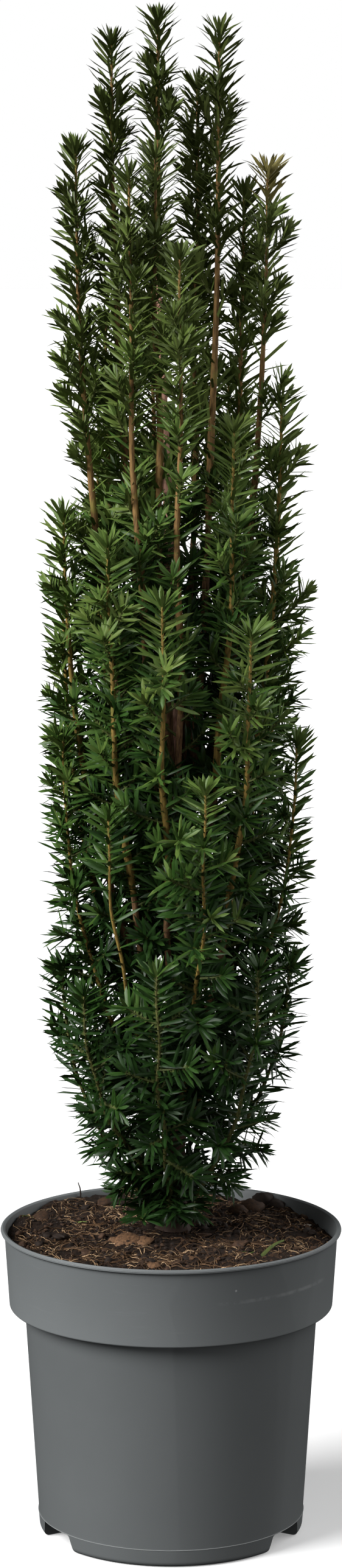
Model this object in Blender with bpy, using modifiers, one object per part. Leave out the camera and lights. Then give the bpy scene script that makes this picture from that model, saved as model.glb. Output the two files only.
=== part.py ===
"""Columnar yew in its grey nursery pot.

A whole trunk carries steep boughs, and each bough ends in an upright shoot of needles.
Sizes are in metres with +Z up, and the origin is on the ground under the pot's axis.
"""

import math
import random
from collections import namedtuple

import bmesh
import bpy
from mathutils import Quaternion, Vector, noise
from mathutils.kdtree import KDTree

OBJECT_NAME = "columnar_yew"
SEED = 11
GAP = 0.0003

# Pot: outside sizes, with one wall thickness all the way down
RIM_RADIUS = 0.125
POT_HEIGHT = 0.2272
WALL = 0.0016
LIP_HEIGHT = 0.0035
LIP_EASE = 0.0009
BAND_TOP_RADIUS = 0.1222
BAND_LOW_RADIUS = 0.1188
BAND_LOW = 0.1688
BAND_ROUND = 0.0016
BODY_TOP_RADIUS = 0.1075
BODY_TOP = 0.1680
STEP_EASE = 0.0010
BODY_LOW_RADIUS = 0.0978
FOOT_SEAM = 0.0132
FOOT_LEDGE = 0.0004
FOOT_ROUND = 0.0045
FOOT_INNER_RADIUS = 0.070
FOOT_INNER_SLOPE = 0.004
UNDERSIDE = 0.0105
FLOOR_TOP = 0.0155
FLOOR_ROUND = 0.006
POT_SIDES = 40

# Drainage notches between the three feet
NOTCH_COUNT = 3
FIRST_NOTCH = math.radians(-30.0)
NOTCH_TOP_WIDTH = 0.036
NOTCH_LOW_WIDTH = 0.045
NOTCH_HEIGHT = 0.0129
NOTCH_REACH = (0.055, 0.115)
NOTCH_BELOW = 0.004
NOTCH_ROUND = 0.0015

# Soil: a plug with an uneven top that rises a little to the middle
SOIL_AT_WALL = 0.2205
SOIL_CROWN = 0.0010
SOIL_BUMP = 0.0035
SOIL_BUMP_SIZE = 0.030
SOIL_BUMP_LAYER = 3.7
SOIL_LEVEL = 0.024
SOIL_LEVEL_EDGE = 0.030
SOIL_RINGS = (0.018, 0.042, 0.066, 0.090, 0.108)
SOIL_CENTRED = 0.088
SOIL_SIDES = 24

# Trunk: from its flat cut on the soil to the height where the crest shoot starts
TRUNK_FOOT = Vector((0.002, 0.012))
TRUNK_TOP = Vector((-0.010, 0.005))
TRUNK_TIP_HEIGHT = 0.930
TRUNK_LOW_RADIUS = 0.0076
TRUNK_TIP_RADIUS = 0.0019
TRUNK_SWAY = Vector((0.007, -0.003))
FLARE = 0.0052
FLARE_HEIGHT = 0.011
TRUNK_LEVELS = (0.0, 0.006, 0.015, 0.030, 0.06, 0.11, 0.18, 0.26, 0.34, 0.42, 0.50, 0.58, 0.65)
TRUNK_RESOLUTION = 3

# Limbs: how steeply they rise, how thick they are, and the level collar they start with
UPRIGHT = 2.2
COLLAR = 0.0045
BOUGH_RADIUS = 0.0021
BOUGH_SWELL = 0.0040
STEM_RADIUS = 0.0017
STEM_TIP_RADIUS = 0.0005
LIMB_STEP = 0.055
LIMB_RESOLUTION = 1
WAVER = 0.0018
WAVES = 2.5
WAVE_PHASE = 90.0

# Foliage: a shoot is a slim core with pointed needles, each standing for a small spray
NEEDLE_LENGTH = 0.0260
NEEDLE_SPREAD = math.radians(52.0)
NEEDLE_TIP_SPREAD = math.radians(20.0)
NEEDLE_STRAY = math.radians(7.0)
NEEDLE_VARIES = (0.82, 1.10)
NEEDLE_HALF_WIDTH = 0.0022
NEEDLE_SIZES = (1.0, 0.8, 0.6, 0.4)
TIP_NEEDLE = 0.0150
LEAST_TIP = 0.0020
CORE_STEP = 0.0240
CORE_RADIUS = 0.0030
CORE_SWELL = 0.0030
CORE_SIDES = 5
CORE_TWIST = math.radians(9.0)
CREST_STEPS = 4
BARE_FOOT = 0.05
ROOT_DEPTH = 0.0010
GOLDEN_ANGLE = math.radians(137.5)
CLEARANCE = 0.0004

# Side shoots: smaller cores of the same kind, curving up from the stem
SIDE_STEP = 0.050
LOW_SIDE_STEP = 0.030
SIDE_ANGLE = math.radians(58.0)
SIDE_END_ANGLE = math.radians(30.0)
SIDE_LEGS = 4
SIDE_SIDES = 3
SIDE_RADIUS = 0.0022
SIDE_TAPER = 0.6
SIDE_CORE_STEP = 0.0150
SIDE_NEEDLE = 0.0200
SIDE_BARE = 0.2
SIDE_VARIES = (1.1, 1.7)
SIDE_FOOT_GROWTH = 0.6
SIDE_GROWTH_RISE = 1.6
SIDE_GROWTH_FADE = 0.4
SHORTEST_SIDE = 0.014

# The crown's outline: its middle, its furthest reach from there, its reach at the soil and how
# fast it swells above that
CROWN_MIDDLE = Vector((0.004, 0.0))
CROWN_REACH = 0.103
CROWN_FOOT_REACH = 0.032
CROWN_FOOT_SWELL = 0.170
OLIVE_ABOVE = 0.9

# How a shoot's core is made: step and sides of its rings, its radius along the way, its
# longest needle, the share of its length that stays bare, and the turn of its first ring
Shoot = namedtuple("Shoot", "step sides radius_at longest bare turn")

# name: height of its foot on the trunk, height where its needles start, tip, reach of its side shoots
Limb = namedtuple("Limb", "name foot leafy x y tip spread")
BOUGHS = (
    Limb("left_crest", 0.540, 0.760, -0.042, 0.012, 1.079, 0.017),
    Limb("right_crest", 0.528, 0.740, 0.034, 0.014, 1.087, 0.018),
    Limb("left_outer", 0.472, 0.670, -0.067, -0.005, 1.004, 0.020),
    Limb("right_outer", 0.484, 0.680, 0.068, -0.005, 0.990, 0.020),
    Limb("front_crest", 0.555, 0.760, -0.011, -0.038, 1.000, 0.016),
    Limb("back_crest", 0.512, 0.730, 0.019, 0.045, 1.050, 0.020),
    Limb("front_left", 0.458, 0.650, -0.029, -0.046, 0.986, 0.018),
    Limb("back_right", 0.446, 0.640, 0.052, 0.038, 0.974, 0.020),
    Limb("front_middle", 0.430, 0.610, 0.006, -0.058, 0.930, 0.018),
    Limb("back_left", 0.438, 0.590, -0.047, 0.042, 0.885, 0.022),
    Limb("right_shoulder", 0.395, 0.550, 0.078, -0.018, 0.829, 0.020),
    Limb("left_shoulder", 0.372, 0.520, -0.076, -0.018, 0.748, 0.022),
    Limb("front_left_shoulder", 0.346, 0.480, -0.044, -0.063, 0.730, 0.022),
    Limb("front_right_shoulder", 0.412, 0.550, 0.044, -0.050, 0.810, 0.020),
    Limb("front_shoulder", 0.365, 0.480, -0.006, -0.079, 0.690, 0.022),
    Limb("right_front_shoulder", 0.335, 0.450, 0.056, -0.066, 0.668, 0.022),
    Limb("rear_crest", 0.425, 0.560, -0.014, 0.078, 0.925, 0.024),
    Limb("rear_right", 0.384, 0.510, 0.042, 0.074, 0.840, 0.024),
    Limb("rear_left", 0.360, 0.500, -0.054, 0.068, 0.790, 0.024),
    Limb("left_rear_shoulder", 0.325, 0.440, -0.078, 0.024, 0.690, 0.022),
    Limb("right_rear_shoulder", 0.350, 0.460, 0.076, 0.026, 0.680, 0.022),
)
TRUNK_SHOOTS = (
    Limb("middle_right", 0.310, 0.330, 0.090, -0.014, 0.585, 0.030),
    Limb("middle_left", 0.302, 0.330, -0.077, -0.030, 0.590, 0.030),
    Limb("middle_front", 0.305, 0.320, 0.024, -0.090, 0.560, 0.032),
    Limb("middle_front_left", 0.318, 0.340, -0.044, -0.080, 0.540, 0.030),
    Limb("middle_rear_left", 0.312, 0.330, -0.026, 0.090, 0.600, 0.032),
    Limb("middle_rear_right", 0.300, 0.320, 0.062, 0.068, 0.560, 0.032),
    Limb("low_front", 0.246, 0.248, -0.010, -0.088, 0.430, 0.036),
    Limb("low_front_right", 0.238, 0.240, 0.062, -0.064, 0.430, 0.036),
    Limb("low_right", 0.250, 0.252, 0.086, 0.016, 0.420, 0.036),
    Limb("low_rear", 0.242, 0.244, 0.018, 0.090, 0.430, 0.036),
    Limb("low_rear_left", 0.248, 0.250, -0.060, 0.064, 0.430, 0.036),
    Limb("low_left", 0.236, 0.238, -0.078, -0.012, 0.420, 0.036),
    Limb("low_front_left", 0.254, 0.256, -0.062, -0.060, 0.410, 0.034),
)
CREST = Limb("crest", TRUNK_TIP_HEIGHT, TRUNK_TIP_HEIGHT, -0.009, 0.004, 1.094, 0.018)


def clear_scene():
    for thing in list(bpy.data.objects):
        bpy.data.objects.remove(thing, do_unlink=True)


def make_collection(name, helper=False):
    made = bpy.data.collections.new(name)
    bpy.context.scene.collection.children.link(made)
    made.hide_render = helper
    return made


def make_material(name, colour, roughness):
    material = bpy.data.materials.new(name)
    material.use_nodes = True
    shader = material.node_tree.nodes["Principled BSDF"]
    shader.inputs["Base Color"].default_value = (*colour, 1.0)
    shader.inputs["Roughness"].default_value = roughness
    shader.inputs["Metallic"].default_value = 0.0
    return material


def make_object(name, mesh, collection, material=None):
    made = bpy.data.objects.new(name, mesh)
    collection.objects.link(made)
    if material:
        mesh.materials.append(material)
    return made


# Turned shapes


def arc(centre_radius, centre_height, radius, start, end, steps):
    """Points of an arc in a turned profile, with angles in degrees from the outward direction."""
    points = []
    for step in range(steps + 1):
        angle = math.radians(start + (end - start) * step / steps)
        across = centre_radius + radius * math.cos(angle)
        points.append((across, centre_height + radius * math.sin(angle)))
    return points


def turned(name, profile, sides, collection, material):
    """A closed profile, from the axis over the inside and down the outside, turned about Z."""
    mesh = bpy.data.meshes.new(name)
    points = [(across, 0.0, height) for across, height in profile]
    edges = [(i, i + 1) for i in range(len(points) - 1)]
    mesh.from_pydata(points, edges, [])
    made = make_object(name, mesh, collection, material)
    screw = made.modifiers.new("turn", "SCREW")
    screw.steps = sides
    screw.render_steps = sides
    screw.use_merge_vertices = True
    screw.merge_threshold = 0.0001
    return made


def body_radius(height):
    """Outside radius of the pot's body, which widens evenly from its feet to the band."""
    share = (height - FOOT_SEAM) / (BODY_TOP - FOOT_SEAM)
    return BODY_LOW_RADIUS + (BODY_TOP_RADIUS - BODY_LOW_RADIUS) * share


def inner_wall():
    """The pot's inside, from the floor to just under the lip."""
    return [
        (body_radius(FLOOR_TOP) - FLOOR_ROUND, FLOOR_TOP),
        (body_radius(FLOOR_TOP + FLOOR_ROUND) - WALL, FLOOR_TOP + FLOOR_ROUND),
        (BODY_TOP_RADIUS - WALL, BODY_TOP + 0.5 * WALL),
        (BAND_LOW_RADIUS - WALL, BAND_LOW + 1.5 * WALL),
        (BAND_TOP_RADIUS - WALL, POT_HEIGHT - LIP_HEIGHT),
    ]


def pot_profile():
    """Half of the pot's section, from the middle of its floor over the lip to the underside."""
    lip_round = LIP_HEIGHT / 2
    lip_centre = RIM_RADIUS - lip_round
    lip_low = POT_HEIGHT - LIP_HEIGHT
    foot_radius = body_radius(0.0) + FOOT_LEDGE
    profile = [(0.0, FLOOR_TOP)]
    profile += inner_wall()
    profile.append((BAND_TOP_RADIUS - WALL + LIP_EASE, POT_HEIGHT - LIP_EASE))
    profile += arc(lip_centre, lip_low + lip_round, lip_round, 90, -90, 4)
    profile.append((BAND_TOP_RADIUS, lip_low - GAP))
    profile += arc(BAND_LOW_RADIUS - BAND_ROUND, BAND_LOW + BAND_ROUND, BAND_ROUND, 0, -90, 3)
    profile.append((BODY_TOP_RADIUS + STEP_EASE, BODY_TOP))
    profile.append((BODY_TOP_RADIUS, BODY_TOP - STEP_EASE))
    profile.append((body_radius(FOOT_SEAM), FOOT_SEAM + GAP))
    profile.append((body_radius(FOOT_SEAM) + FOOT_LEDGE, FOOT_SEAM))
    profile += arc(foot_radius - FOOT_ROUND, FOOT_ROUND, FOOT_ROUND, 0, -90, 3)
    profile += [(FOOT_INNER_RADIUS, 0.0), (FOOT_INNER_RADIUS - FOOT_INNER_SLOPE, UNDERSIDE)]
    profile.append((0.0, UNDERSIDE))
    return profile


def notch_cutter(index, cutters):
    """A channel under the pot, wider at the ground than at its rounded top."""
    near, far = NOTCH_REACH
    flare = (NOTCH_LOW_WIDTH - NOTCH_TOP_WIDTH) / 2 * NOTCH_BELOW / NOTCH_HEIGHT
    mesh = bpy.data.meshes.new(f"notch_cutter_{index}")
    shape = bmesh.new()
    bmesh.ops.create_cube(shape, size=1.0)
    for vertex in shape.verts:
        top = vertex.co.z > 0
        width = NOTCH_TOP_WIDTH if top else NOTCH_LOW_WIDTH + 2 * flare
        vertex.co.x = far if vertex.co.x > 0 else near
        vertex.co.y = math.copysign(width / 2, vertex.co.y)
        vertex.co.z = NOTCH_HEIGHT if top else -NOTCH_BELOW
    shape.to_mesh(mesh)
    shape.free()
    cutter = make_object(mesh.name, mesh, cutters)
    cutter.rotation_euler.z = FIRST_NOTCH + index * math.tau / NOTCH_COUNT
    cutter.hide_render = True
    cutter.display_type = "WIRE"
    rounding = cutter.modifiers.new("rounding", "BEVEL")
    rounding.width = NOTCH_ROUND
    rounding.segments = 1
    rounding.limit_method = "ANGLE"
    return cutter


def build_pot(parts, cutters, material):
    pot = turned("pot", pot_profile(), POT_SIDES, parts, material)
    for index in range(NOTCH_COUNT):
        cut = pot.modifiers.new(f"notch_{index}", "BOOLEAN")
        cut.operation = "DIFFERENCE"
        cut.solver = "EXACT"
        cut.object = notch_cutter(index, cutters)
    return pot


# Soil


def soil_height(x, y):
    """Height of the soil's top, flat round the trunk's foot and uneven elsewhere."""
    from_axis = math.hypot(x, y)
    from_trunk = (Vector((x, y)) - TRUNK_FOOT).length
    level = SOIL_AT_WALL + SOIL_CROWN * max(0.0, 1.0 - (from_axis / BODY_TOP_RADIUS) ** 2)
    away = min(1.0, max(0.0, (from_trunk - SOIL_LEVEL) / SOIL_LEVEL_EDGE))
    place = Vector((x / SOIL_BUMP_SIZE, y / SOIL_BUMP_SIZE, SOIL_BUMP_LAYER))
    return level + SOIL_BUMP * away * noise.noise(place)


def trunk_cut_height():
    """Where the trunk is cut flat, just clear of the level soil round it."""
    return SOIL_AT_WALL + SOIL_CROWN + GAP


def build_soil(parts, material):
    """A plug that fills the pot, with a level disc under the trunk."""
    side = [(across - 2 * GAP, height + GAP) for across, height in inner_wall()]
    side[0] = (side[0][0] - 2 * GAP, FLOOR_TOP + GAP)
    slope = (side[-1][0] - side[-2][0]) / (side[-1][1] - side[-2][1])
    side[-1] = (side[-2][0] + slope * (SOIL_AT_WALL - side[-2][1]), SOIL_AT_WALL)
    shape = bmesh.new()
    rings = []
    for across in SOIL_RINGS:
        rings.append(soil_ring(shape, across, None))
    for across, height in reversed(side):
        rings.append(soil_ring(shape, across, height))
    for upper, lower in zip(rings, rings[1:]):
        for i in range(SOIL_SIDES):
            j = (i + 1) % SOIL_SIDES
            shape.faces.new((upper[i], lower[i], lower[j], upper[j]))
    shape.faces.new(rings[0])
    floor_centre = shape.verts.new((0.0, 0.0, FLOOR_TOP + GAP))
    last = rings[-1]
    for i in range(SOIL_SIDES):
        shape.faces.new((last[(i + 1) % SOIL_SIDES], last[i], floor_centre))
    bmesh.ops.recalc_face_normals(shape, faces=shape.faces)
    mesh = bpy.data.meshes.new("soil")
    shape.to_mesh(mesh)
    shape.free()
    return make_object("soil", mesh, parts, material)


def soil_ring(shape, across, height):
    """One ring of the soil's surface: round the trunk at the first size, round the pot further out."""
    made = []
    first = across == SOIL_RINGS[0]
    outward = (across - SOIL_RINGS[0]) / (SOIL_CENTRED - SOIL_RINGS[0])
    centre = TRUNK_FOOT * max(0.0, 1.0 - outward)
    for i in range(SOIL_SIDES):
        angle = math.tau * i / SOIL_SIDES
        x = centre.x + across * math.cos(angle)
        y = centre.y + across * math.sin(angle)
        level = SOIL_AT_WALL + SOIL_CROWN if first else soil_height(x, y)
        made.append(shape.verts.new((x, y, level if height is None else height)))
    return made


# Trunk and limbs


def trunk_centre(height):
    """The trunk's middle at a height: an even lean with one slow bend."""
    foot = trunk_cut_height()
    share = (height - foot) / (TRUNK_TIP_HEIGHT - foot)
    flat = TRUNK_FOOT.lerp(TRUNK_TOP, share) + TRUNK_SWAY * math.sin(math.pi * share)
    return Vector((flat.x, flat.y, height))


def trunk_radius(height):
    """Even taper to the tip, with the root flare at the soil."""
    above = height - trunk_cut_height()
    share = above / (TRUNK_TIP_HEIGHT - trunk_cut_height())
    taper = TRUNK_LOW_RADIUS + (TRUNK_TIP_RADIUS - TRUNK_LOW_RADIUS) * share
    return taper + FLARE * math.exp(-above / FLARE_HEIGHT)


def tapered_curve(name, points, radii, resolution, collection, material):
    curve = bpy.data.curves.new(name, "CURVE")
    curve.dimensions = "3D"
    curve.bevel_depth = 1.0
    curve.bevel_resolution = resolution
    curve.use_fill_caps = True
    spline = curve.splines.new("POLY")
    spline.points.add(len(points) - 1)
    for point, place, radius in zip(spline.points, points, radii):
        point.co = (*place, 1.0)
        point.radius = radius
    made = bpy.data.objects.new(name, curve)
    collection.objects.link(made)
    curve.materials.append(material)
    return made


def build_trunk(parts, material):
    """The whole trunk, which leaves its flat cut at right angles."""
    heights = [trunk_cut_height() + above for above in TRUNK_LEVELS] + [TRUNK_TIP_HEIGHT]
    points = [trunk_centre(height) for height in heights]
    points[1].xy = points[0].xy
    radii = [trunk_radius(height) for height in heights]
    return tapered_curve("trunk", points, radii, TRUNK_RESOLUTION, parts, material)


def limb_foot_reach(limb):
    """How far from the trunk's middle a limb starts, clear of the bark under its lower side too."""
    return trunk_radius(limb.foot - BOUGH_RADIUS) + GAP


def limb_point(limb, share):
    """A limb's middle at a share of its rise: level out of the trunk, then steeply up to its tip."""
    start = trunk_centre(limb.foot)
    out = Vector((limb.x - start.x, limb.y - start.y))
    bearing = out.normalized()
    collar = limb_foot_reach(limb) + COLLAR
    beyond = (out.length - collar) * (1.0 - (1.0 - share) ** UPRIGHT)
    phase = (limb.foot + limb.x) * WAVE_PHASE
    waver = WAVER * math.sin(math.pi * share) * math.sin(WAVES * math.tau * share + phase)
    across = Vector((-bearing.y, bearing.x))
    flat = Vector((start.x, start.y)) + bearing * (collar + beyond) + across * waver
    return Vector((flat.x, flat.y, limb.foot + (limb.tip - limb.foot) * share))


def limb_path(limb, low, high):
    """Points of a limb between two heights, with its level collar where it starts at the trunk."""
    rise = limb.tip - limb.foot
    first = (low - limb.foot) / rise
    last = (high - limb.foot) / rise
    steps = max(3, round((high - low) / LIMB_STEP))
    points = [limb_point(limb, first + (last - first) * i / steps) for i in range(steps + 1)]
    if low <= limb.foot:
        start = trunk_centre(limb.foot)
        bearing = Vector((limb.x - start.x, limb.y - start.y, 0.0)).normalized()
        points.insert(0, start + bearing * limb_foot_reach(limb))
    return points


def build_bough(limb, parts, material):
    points = limb_path(limb, limb.foot, limb.leafy)
    swell = BOUGH_SWELL * (limb.tip - limb.foot)
    radii = [BOUGH_RADIUS + swell * (1.0 - i / (len(points) - 1)) for i in range(len(points))]
    return tapered_curve(f"bough_{limb.name}", points, radii, LIMB_RESOLUTION, parts, material)


# Foliage


def crest_path():
    """The leading shoot, straight on from the trunk's tip."""
    start = trunk_centre(TRUNK_TIP_HEIGHT)
    tip = Vector((CREST.x, CREST.y, CREST.tip))
    return [start.lerp(tip, i / CREST_STEPS) for i in range(CREST_STEPS + 1)]


def stem_path(limb):
    """The stem of a mass, which starts clear of its bough's tip or of the trunk."""
    if limb is CREST:
        points = crest_path()
    elif limb in BOUGHS:
        points = limb_path(limb, limb.leafy, limb.tip)
    else:
        return limb_path(limb, limb.foot, limb.tip)
    ahead = (points[1] - points[0]).normalized()
    points[0] = points[0] + ahead * GAP
    return points


def walk(points, step):
    """Places at even steps along a path, each with its direction and its share of the length."""
    lengths = [(b - a).length for a, b in zip(points, points[1:])]
    total = sum(lengths)
    count = max(2, round(total / step))
    places = []
    for i in range(count + 1):
        left = total * i / count
        leg = 0
        while leg < len(lengths) - 1 and left > lengths[leg]:
            left -= lengths[leg]
            leg += 1
        ahead = points[leg + 1] - points[leg]
        places.append((points[leg] + ahead * (left / lengths[leg]), ahead.normalized(), i / count))
    return places


class Spaces:
    """Shares out the crown: a mass keeps what is nearer to its own stem than to any other stem."""

    def __init__(self, stems, trunk, boughs):
        self.own = {name: self.tree(points) for name, points in stems.items()}
        self.others = {}
        for name in stems:
            rest = [point for other, points in stems.items() if other != name for point in points]
            self.others[name] = self.tree(rest)
        self.trunk = self.tree(trunk)
        self.boughs = self.tree(boughs)

    @staticmethod
    def tree(points):
        tree = KDTree(len(points))
        for index, point in enumerate(points):
            tree.insert(point, index)
        tree.balance()
        return tree

    def room(self, name, point):
        """How far a round thing at this point may reach before it leaves its mass's space."""
        own = self.own[name].find(point)[2]
        other = self.others[name].find(point)[2]
        trunk = self.trunk.find(point)[2] - trunk_radius(point.z)
        bough = self.boughs.find(point)[2] - BOUGH_RADIUS - 0.5 * BOUGH_SWELL
        return min((other - own) / 2, trunk, bough) - CLEARANCE

    def holds(self, name, point, reach):
        from_middle = (point.xy - CROWN_MIDDLE).length
        above_soil = point.z - SOIL_AT_WALL - SOIL_CROWN - SOIL_BUMP
        if above_soil < reach:
            return False
        widest = min(CROWN_REACH, CROWN_FOOT_REACH + CROWN_FOOT_SWELL * math.sqrt(above_soil))
        return from_middle + reach < widest and self.room(name, point) > reach


def share_out(limbs):
    fine = 0.0025
    stems = {limb.name: [place for place, _, _ in walk(stem_path(limb), fine)] for limb in limbs}
    trunk = [place for place, _, _ in walk(trunk_line(), fine)]
    boughs = []
    for limb in BOUGHS:
        boughs += [place for place, _, _ in walk(limb_path(limb, limb.foot, limb.leafy), fine)]
    return Spaces(stems, trunk, boughs)


def trunk_line():
    foot = trunk_cut_height()
    steps = 40
    return [trunk_centre(foot + (TRUNK_TIP_HEIGHT - foot) * i / steps) for i in range(steps + 1)]


def sideways(direction, turn):
    """A unit vector at right angles to a direction, turned about it."""
    level = direction.cross(Vector((0.0, 1.0, 0.0)) if abs(direction.y) < 0.9 else Vector((1.0, 0.0, 0.0)))
    return Quaternion(direction, turn) @ level.normalized()


def fit_needle(limb, spaces, root, heading, longest):
    """The longest of a few lengths at which a needle keeps to its space, or None."""
    for size in NEEDLE_SIZES:
        length = longest * size
        clear = all(
            spaces.holds(limb.name, root + heading * (length * share), reach)
            for share, reach in ((0.45, NEEDLE_HALF_WIDTH), (0.75, NEEDLE_HALF_WIDTH / 2), (1.0, 0.0))
        )
        if clear:
            return length
    return None


def ring_at(shape, place, ahead, radius, sides, turn):
    """A ring of points round a path, at right angles to it."""
    ring = []
    for side in range(sides):
        out = sideways(ahead, turn + math.tau * side / sides)
        ring.append(shape.verts.new(place + out * radius))
    return ring


def needle_heading(ahead, out, share):
    """Which way a needle points: well out from the shoot's foot, and along it near the tip."""
    spread = NEEDLE_SPREAD + (NEEDLE_TIP_SPREAD - NEEDLE_SPREAD) * share**3
    spread += random.uniform(-NEEDLE_STRAY, NEEDLE_STRAY)
    return ahead * math.cos(spread) + out * math.sin(spread)


def stand_needle(shape, face, point):
    """A pointed needle on a triangle of the core, as three faces in its place."""
    for k in range(3):
        shape.faces.new((face[k], face[(k + 1) % 3], point))


def needled_core(name, limb, spaces, points, shoot, collection):
    """A closed core round a path, with a pointed needle on every other face and one at its tip.

    Each ring is turned half a side from the last, so the faces between two rings point
    up and down by turns. Needles stand on those that point up, where their space allows.
    """
    shape = bmesh.new()
    places = walk(points, shoot.step)
    sides = shoot.sides
    rings = []
    turn = shoot.turn
    for place, ahead, share in places[:-1]:
        rings.append(ring_at(shape, place, ahead, shoot.radius_at(place, share), sides, turn))
        turn += math.pi / sides + CORE_TWIST
    shape.faces.new(list(reversed(rings[0])))
    for (centre, ahead, share), low, high in zip(places, rings, rings[1:]):
        for i in range(sides):
            j = (i + 1) % sides
            shape.faces.new((low[j], high[j], high[i]))
            face = (low[i], low[j], high[i])
            root = (low[i].co + low[j].co + high[i].co) / 3
            out = root - centre
            heading = needle_heading(ahead, (out - ahead * out.dot(ahead)).normalized(), share)
            wanted = shoot.longest * random.uniform(*NEEDLE_VARIES)
            length = fit_needle(limb, spaces, root, heading, wanted)
            if length is None or share < shoot.bare:
                shape.faces.new(face)
            else:
                stand_needle(shape, face, shape.verts.new(root + heading * length))
    last, ahead, _ = places[-1]
    tip_length = fit_needle(limb, spaces, last, ahead, TIP_NEEDLE) or LEAST_TIP
    tip = shape.verts.new(last + ahead * tip_length)
    for i in range(sides):
        shape.faces.new((rings[-1][i], rings[-1][(i + 1) % sides], tip))
    mesh = bpy.data.meshes.new(name)
    shape.to_mesh(mesh)
    shape.free()
    return make_object(name, mesh, collection)


def side_path(limb, spaces, root, ahead, turn, length):
    """A way that leaves its stem and curves upward, as far as its space allows."""
    out = sideways(ahead, turn)
    points = [root - ahead * ROOT_DEPTH]
    for leg in range(SIDE_LEGS):
        angle = SIDE_ANGLE + (SIDE_END_ANGLE - SIDE_ANGLE) * leg / (SIDE_LEGS - 1)
        heading = ahead * math.cos(angle) + out * math.sin(angle)
        reached = points[-1] + heading * (length / SIDE_LEGS)
        if not spaces.holds(limb.name, reached, SIDE_RADIUS):
            break
        points.append(reached)
    return points


def side_shoot(limb, spaces, points, turn, collection):
    """A small needled core on a side path."""

    def radius_at(_, share):
        return SIDE_RADIUS * (1.0 - SIDE_TAPER * share)

    shoot = Shoot(SIDE_CORE_STEP, SIDE_SIDES, radius_at, SIDE_NEEDLE, SIDE_BARE, turn)
    return needled_core(f"side_{limb.name}", limb, spaces, points, shoot, collection)


def grow_mass(limb, spaces, parts, material):
    """One mass: a stem with needles on its core and side shoots joined to it as one solid."""
    random.seed(f"{SEED} {limb.name}")
    pieces = make_collection("pieces", helper=True)
    points = stem_path(limb)
    from_trunk = limb in TRUNK_SHOOTS
    bare = BARE_FOOT + (limb.leafy - limb.foot) / (limb.tip - limb.foot) if from_trunk else 0.0

    def radius_at(place, share):
        stem = STEM_RADIUS + (STEM_TIP_RADIUS - STEM_RADIUS) * share
        if share <= bare:
            return stem
        swell = CORE_RADIUS - STEM_RADIUS + CORE_SWELL * math.sin(math.pi * share**0.7)
        return max(stem, min(stem + swell, spaces.room(limb.name, place)))

    turn = random.uniform(0.0, math.tau)
    shoot = Shoot(CORE_STEP, CORE_SIDES, radius_at, NEEDLE_LENGTH, bare + 0.01, turn)
    base = needled_core(f"foliage_{limb.name}", limb, spaces, points, shoot, parts)
    base.data.materials.append(material)
    for place, ahead, share in walk(points, LOW_SIDE_STEP if from_trunk else SIDE_STEP)[:-1]:
        turn += GOLDEN_ANGLE
        if share < bare + 0.02:
            continue
        growth = min(1.0, SIDE_FOOT_GROWTH + SIDE_GROWTH_RISE * (share - bare))
        growth *= (1.0 - share) ** SIDE_GROWTH_FADE
        length = limb.spread * growth * random.uniform(*SIDE_VARIES)
        path = side_path(limb, spaces, place, ahead, turn, length)
        if len(path) > 2 and length * (len(path) - 1) / SIDE_LEGS > SHORTEST_SIDE:
            side_shoot(limb, spaces, path, turn, pieces)
    fuse(base, pieces)
    return base


def islands(mesh):
    """Vertex sets of the mesh's separate surfaces, with the volume that each encloses."""
    shape = bmesh.new()
    shape.from_mesh(mesh)
    bmesh.ops.triangulate(shape, faces=shape.faces)
    shape.verts.ensure_lookup_table()
    seen = set()
    found = []
    for vertex in shape.verts:
        if vertex.index in seen:
            continue
        seen.add(vertex.index)
        stack = [vertex]
        members = []
        while stack:
            current = stack.pop()
            members.append(current)
            for edge in current.link_edges:
                other = edge.other_vert(current)
                if other.index not in seen:
                    seen.add(other.index)
                    stack.append(other)
        faces = {face for member in members for face in member.link_faces}
        volume = sum(f.verts[0].co.dot(f.verts[1].co.cross(f.verts[2].co)) for f in faces) / 6
        found.append((volume, {member.index for member in members}))
    closed = all(len(edge.link_faces) == 2 for edge in shape.edges)
    shape.free()
    return sorted(found, key=lambda item: -item[0]), closed


def keep_largest(mesh):
    """Drops loose scraps and fills sealed hollows: only the surface round the largest volume stays."""
    found, closed = islands(mesh)
    if len(found) > 1:
        dropped = set().union(*(members for _, members in found[1:]))
        shape = bmesh.new()
        shape.from_mesh(mesh)
        shape.verts.ensure_lookup_table()
        bmesh.ops.delete(shape, geom=[shape.verts[i] for i in dropped], context="VERTS")
        shape.to_mesh(mesh)
        shape.free()
    return closed


def fuse(base, pieces):
    """Joins a mass's pieces to its stem by one union, with fewer pieces where a union isn't closed."""
    original = base.data
    for solver in ("EXACT", "MANIFOLD", "EXACT", "MANIFOLD", "EXACT"):
        join = base.modifiers.new("join", "BOOLEAN")
        join.operation = "UNION"
        join.operand_type = "COLLECTION"
        join.collection = pieces
        join.solver = solver
        graph = bpy.context.evaluated_depsgraph_get()
        graph.update()
        joined = bpy.data.meshes.new_from_object(base.evaluated_get(graph))
        base.modifiers.remove(join)
        if keep_largest(joined):
            break
        for extra in list(pieces.objects)[::3]:
            bpy.data.objects.remove(extra, do_unlink=True)
    joined.name = original.name
    base.data = joined
    for piece in list(pieces.objects):
        bpy.data.objects.remove(piece, do_unlink=True)
    bpy.data.collections.remove(pieces)


def shade(objects):
    for made in objects:
        if made.type == "MESH":
            made.data.shade_smooth()
            made.data.set_sharp_from_angle(angle=math.radians(35.0))


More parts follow.
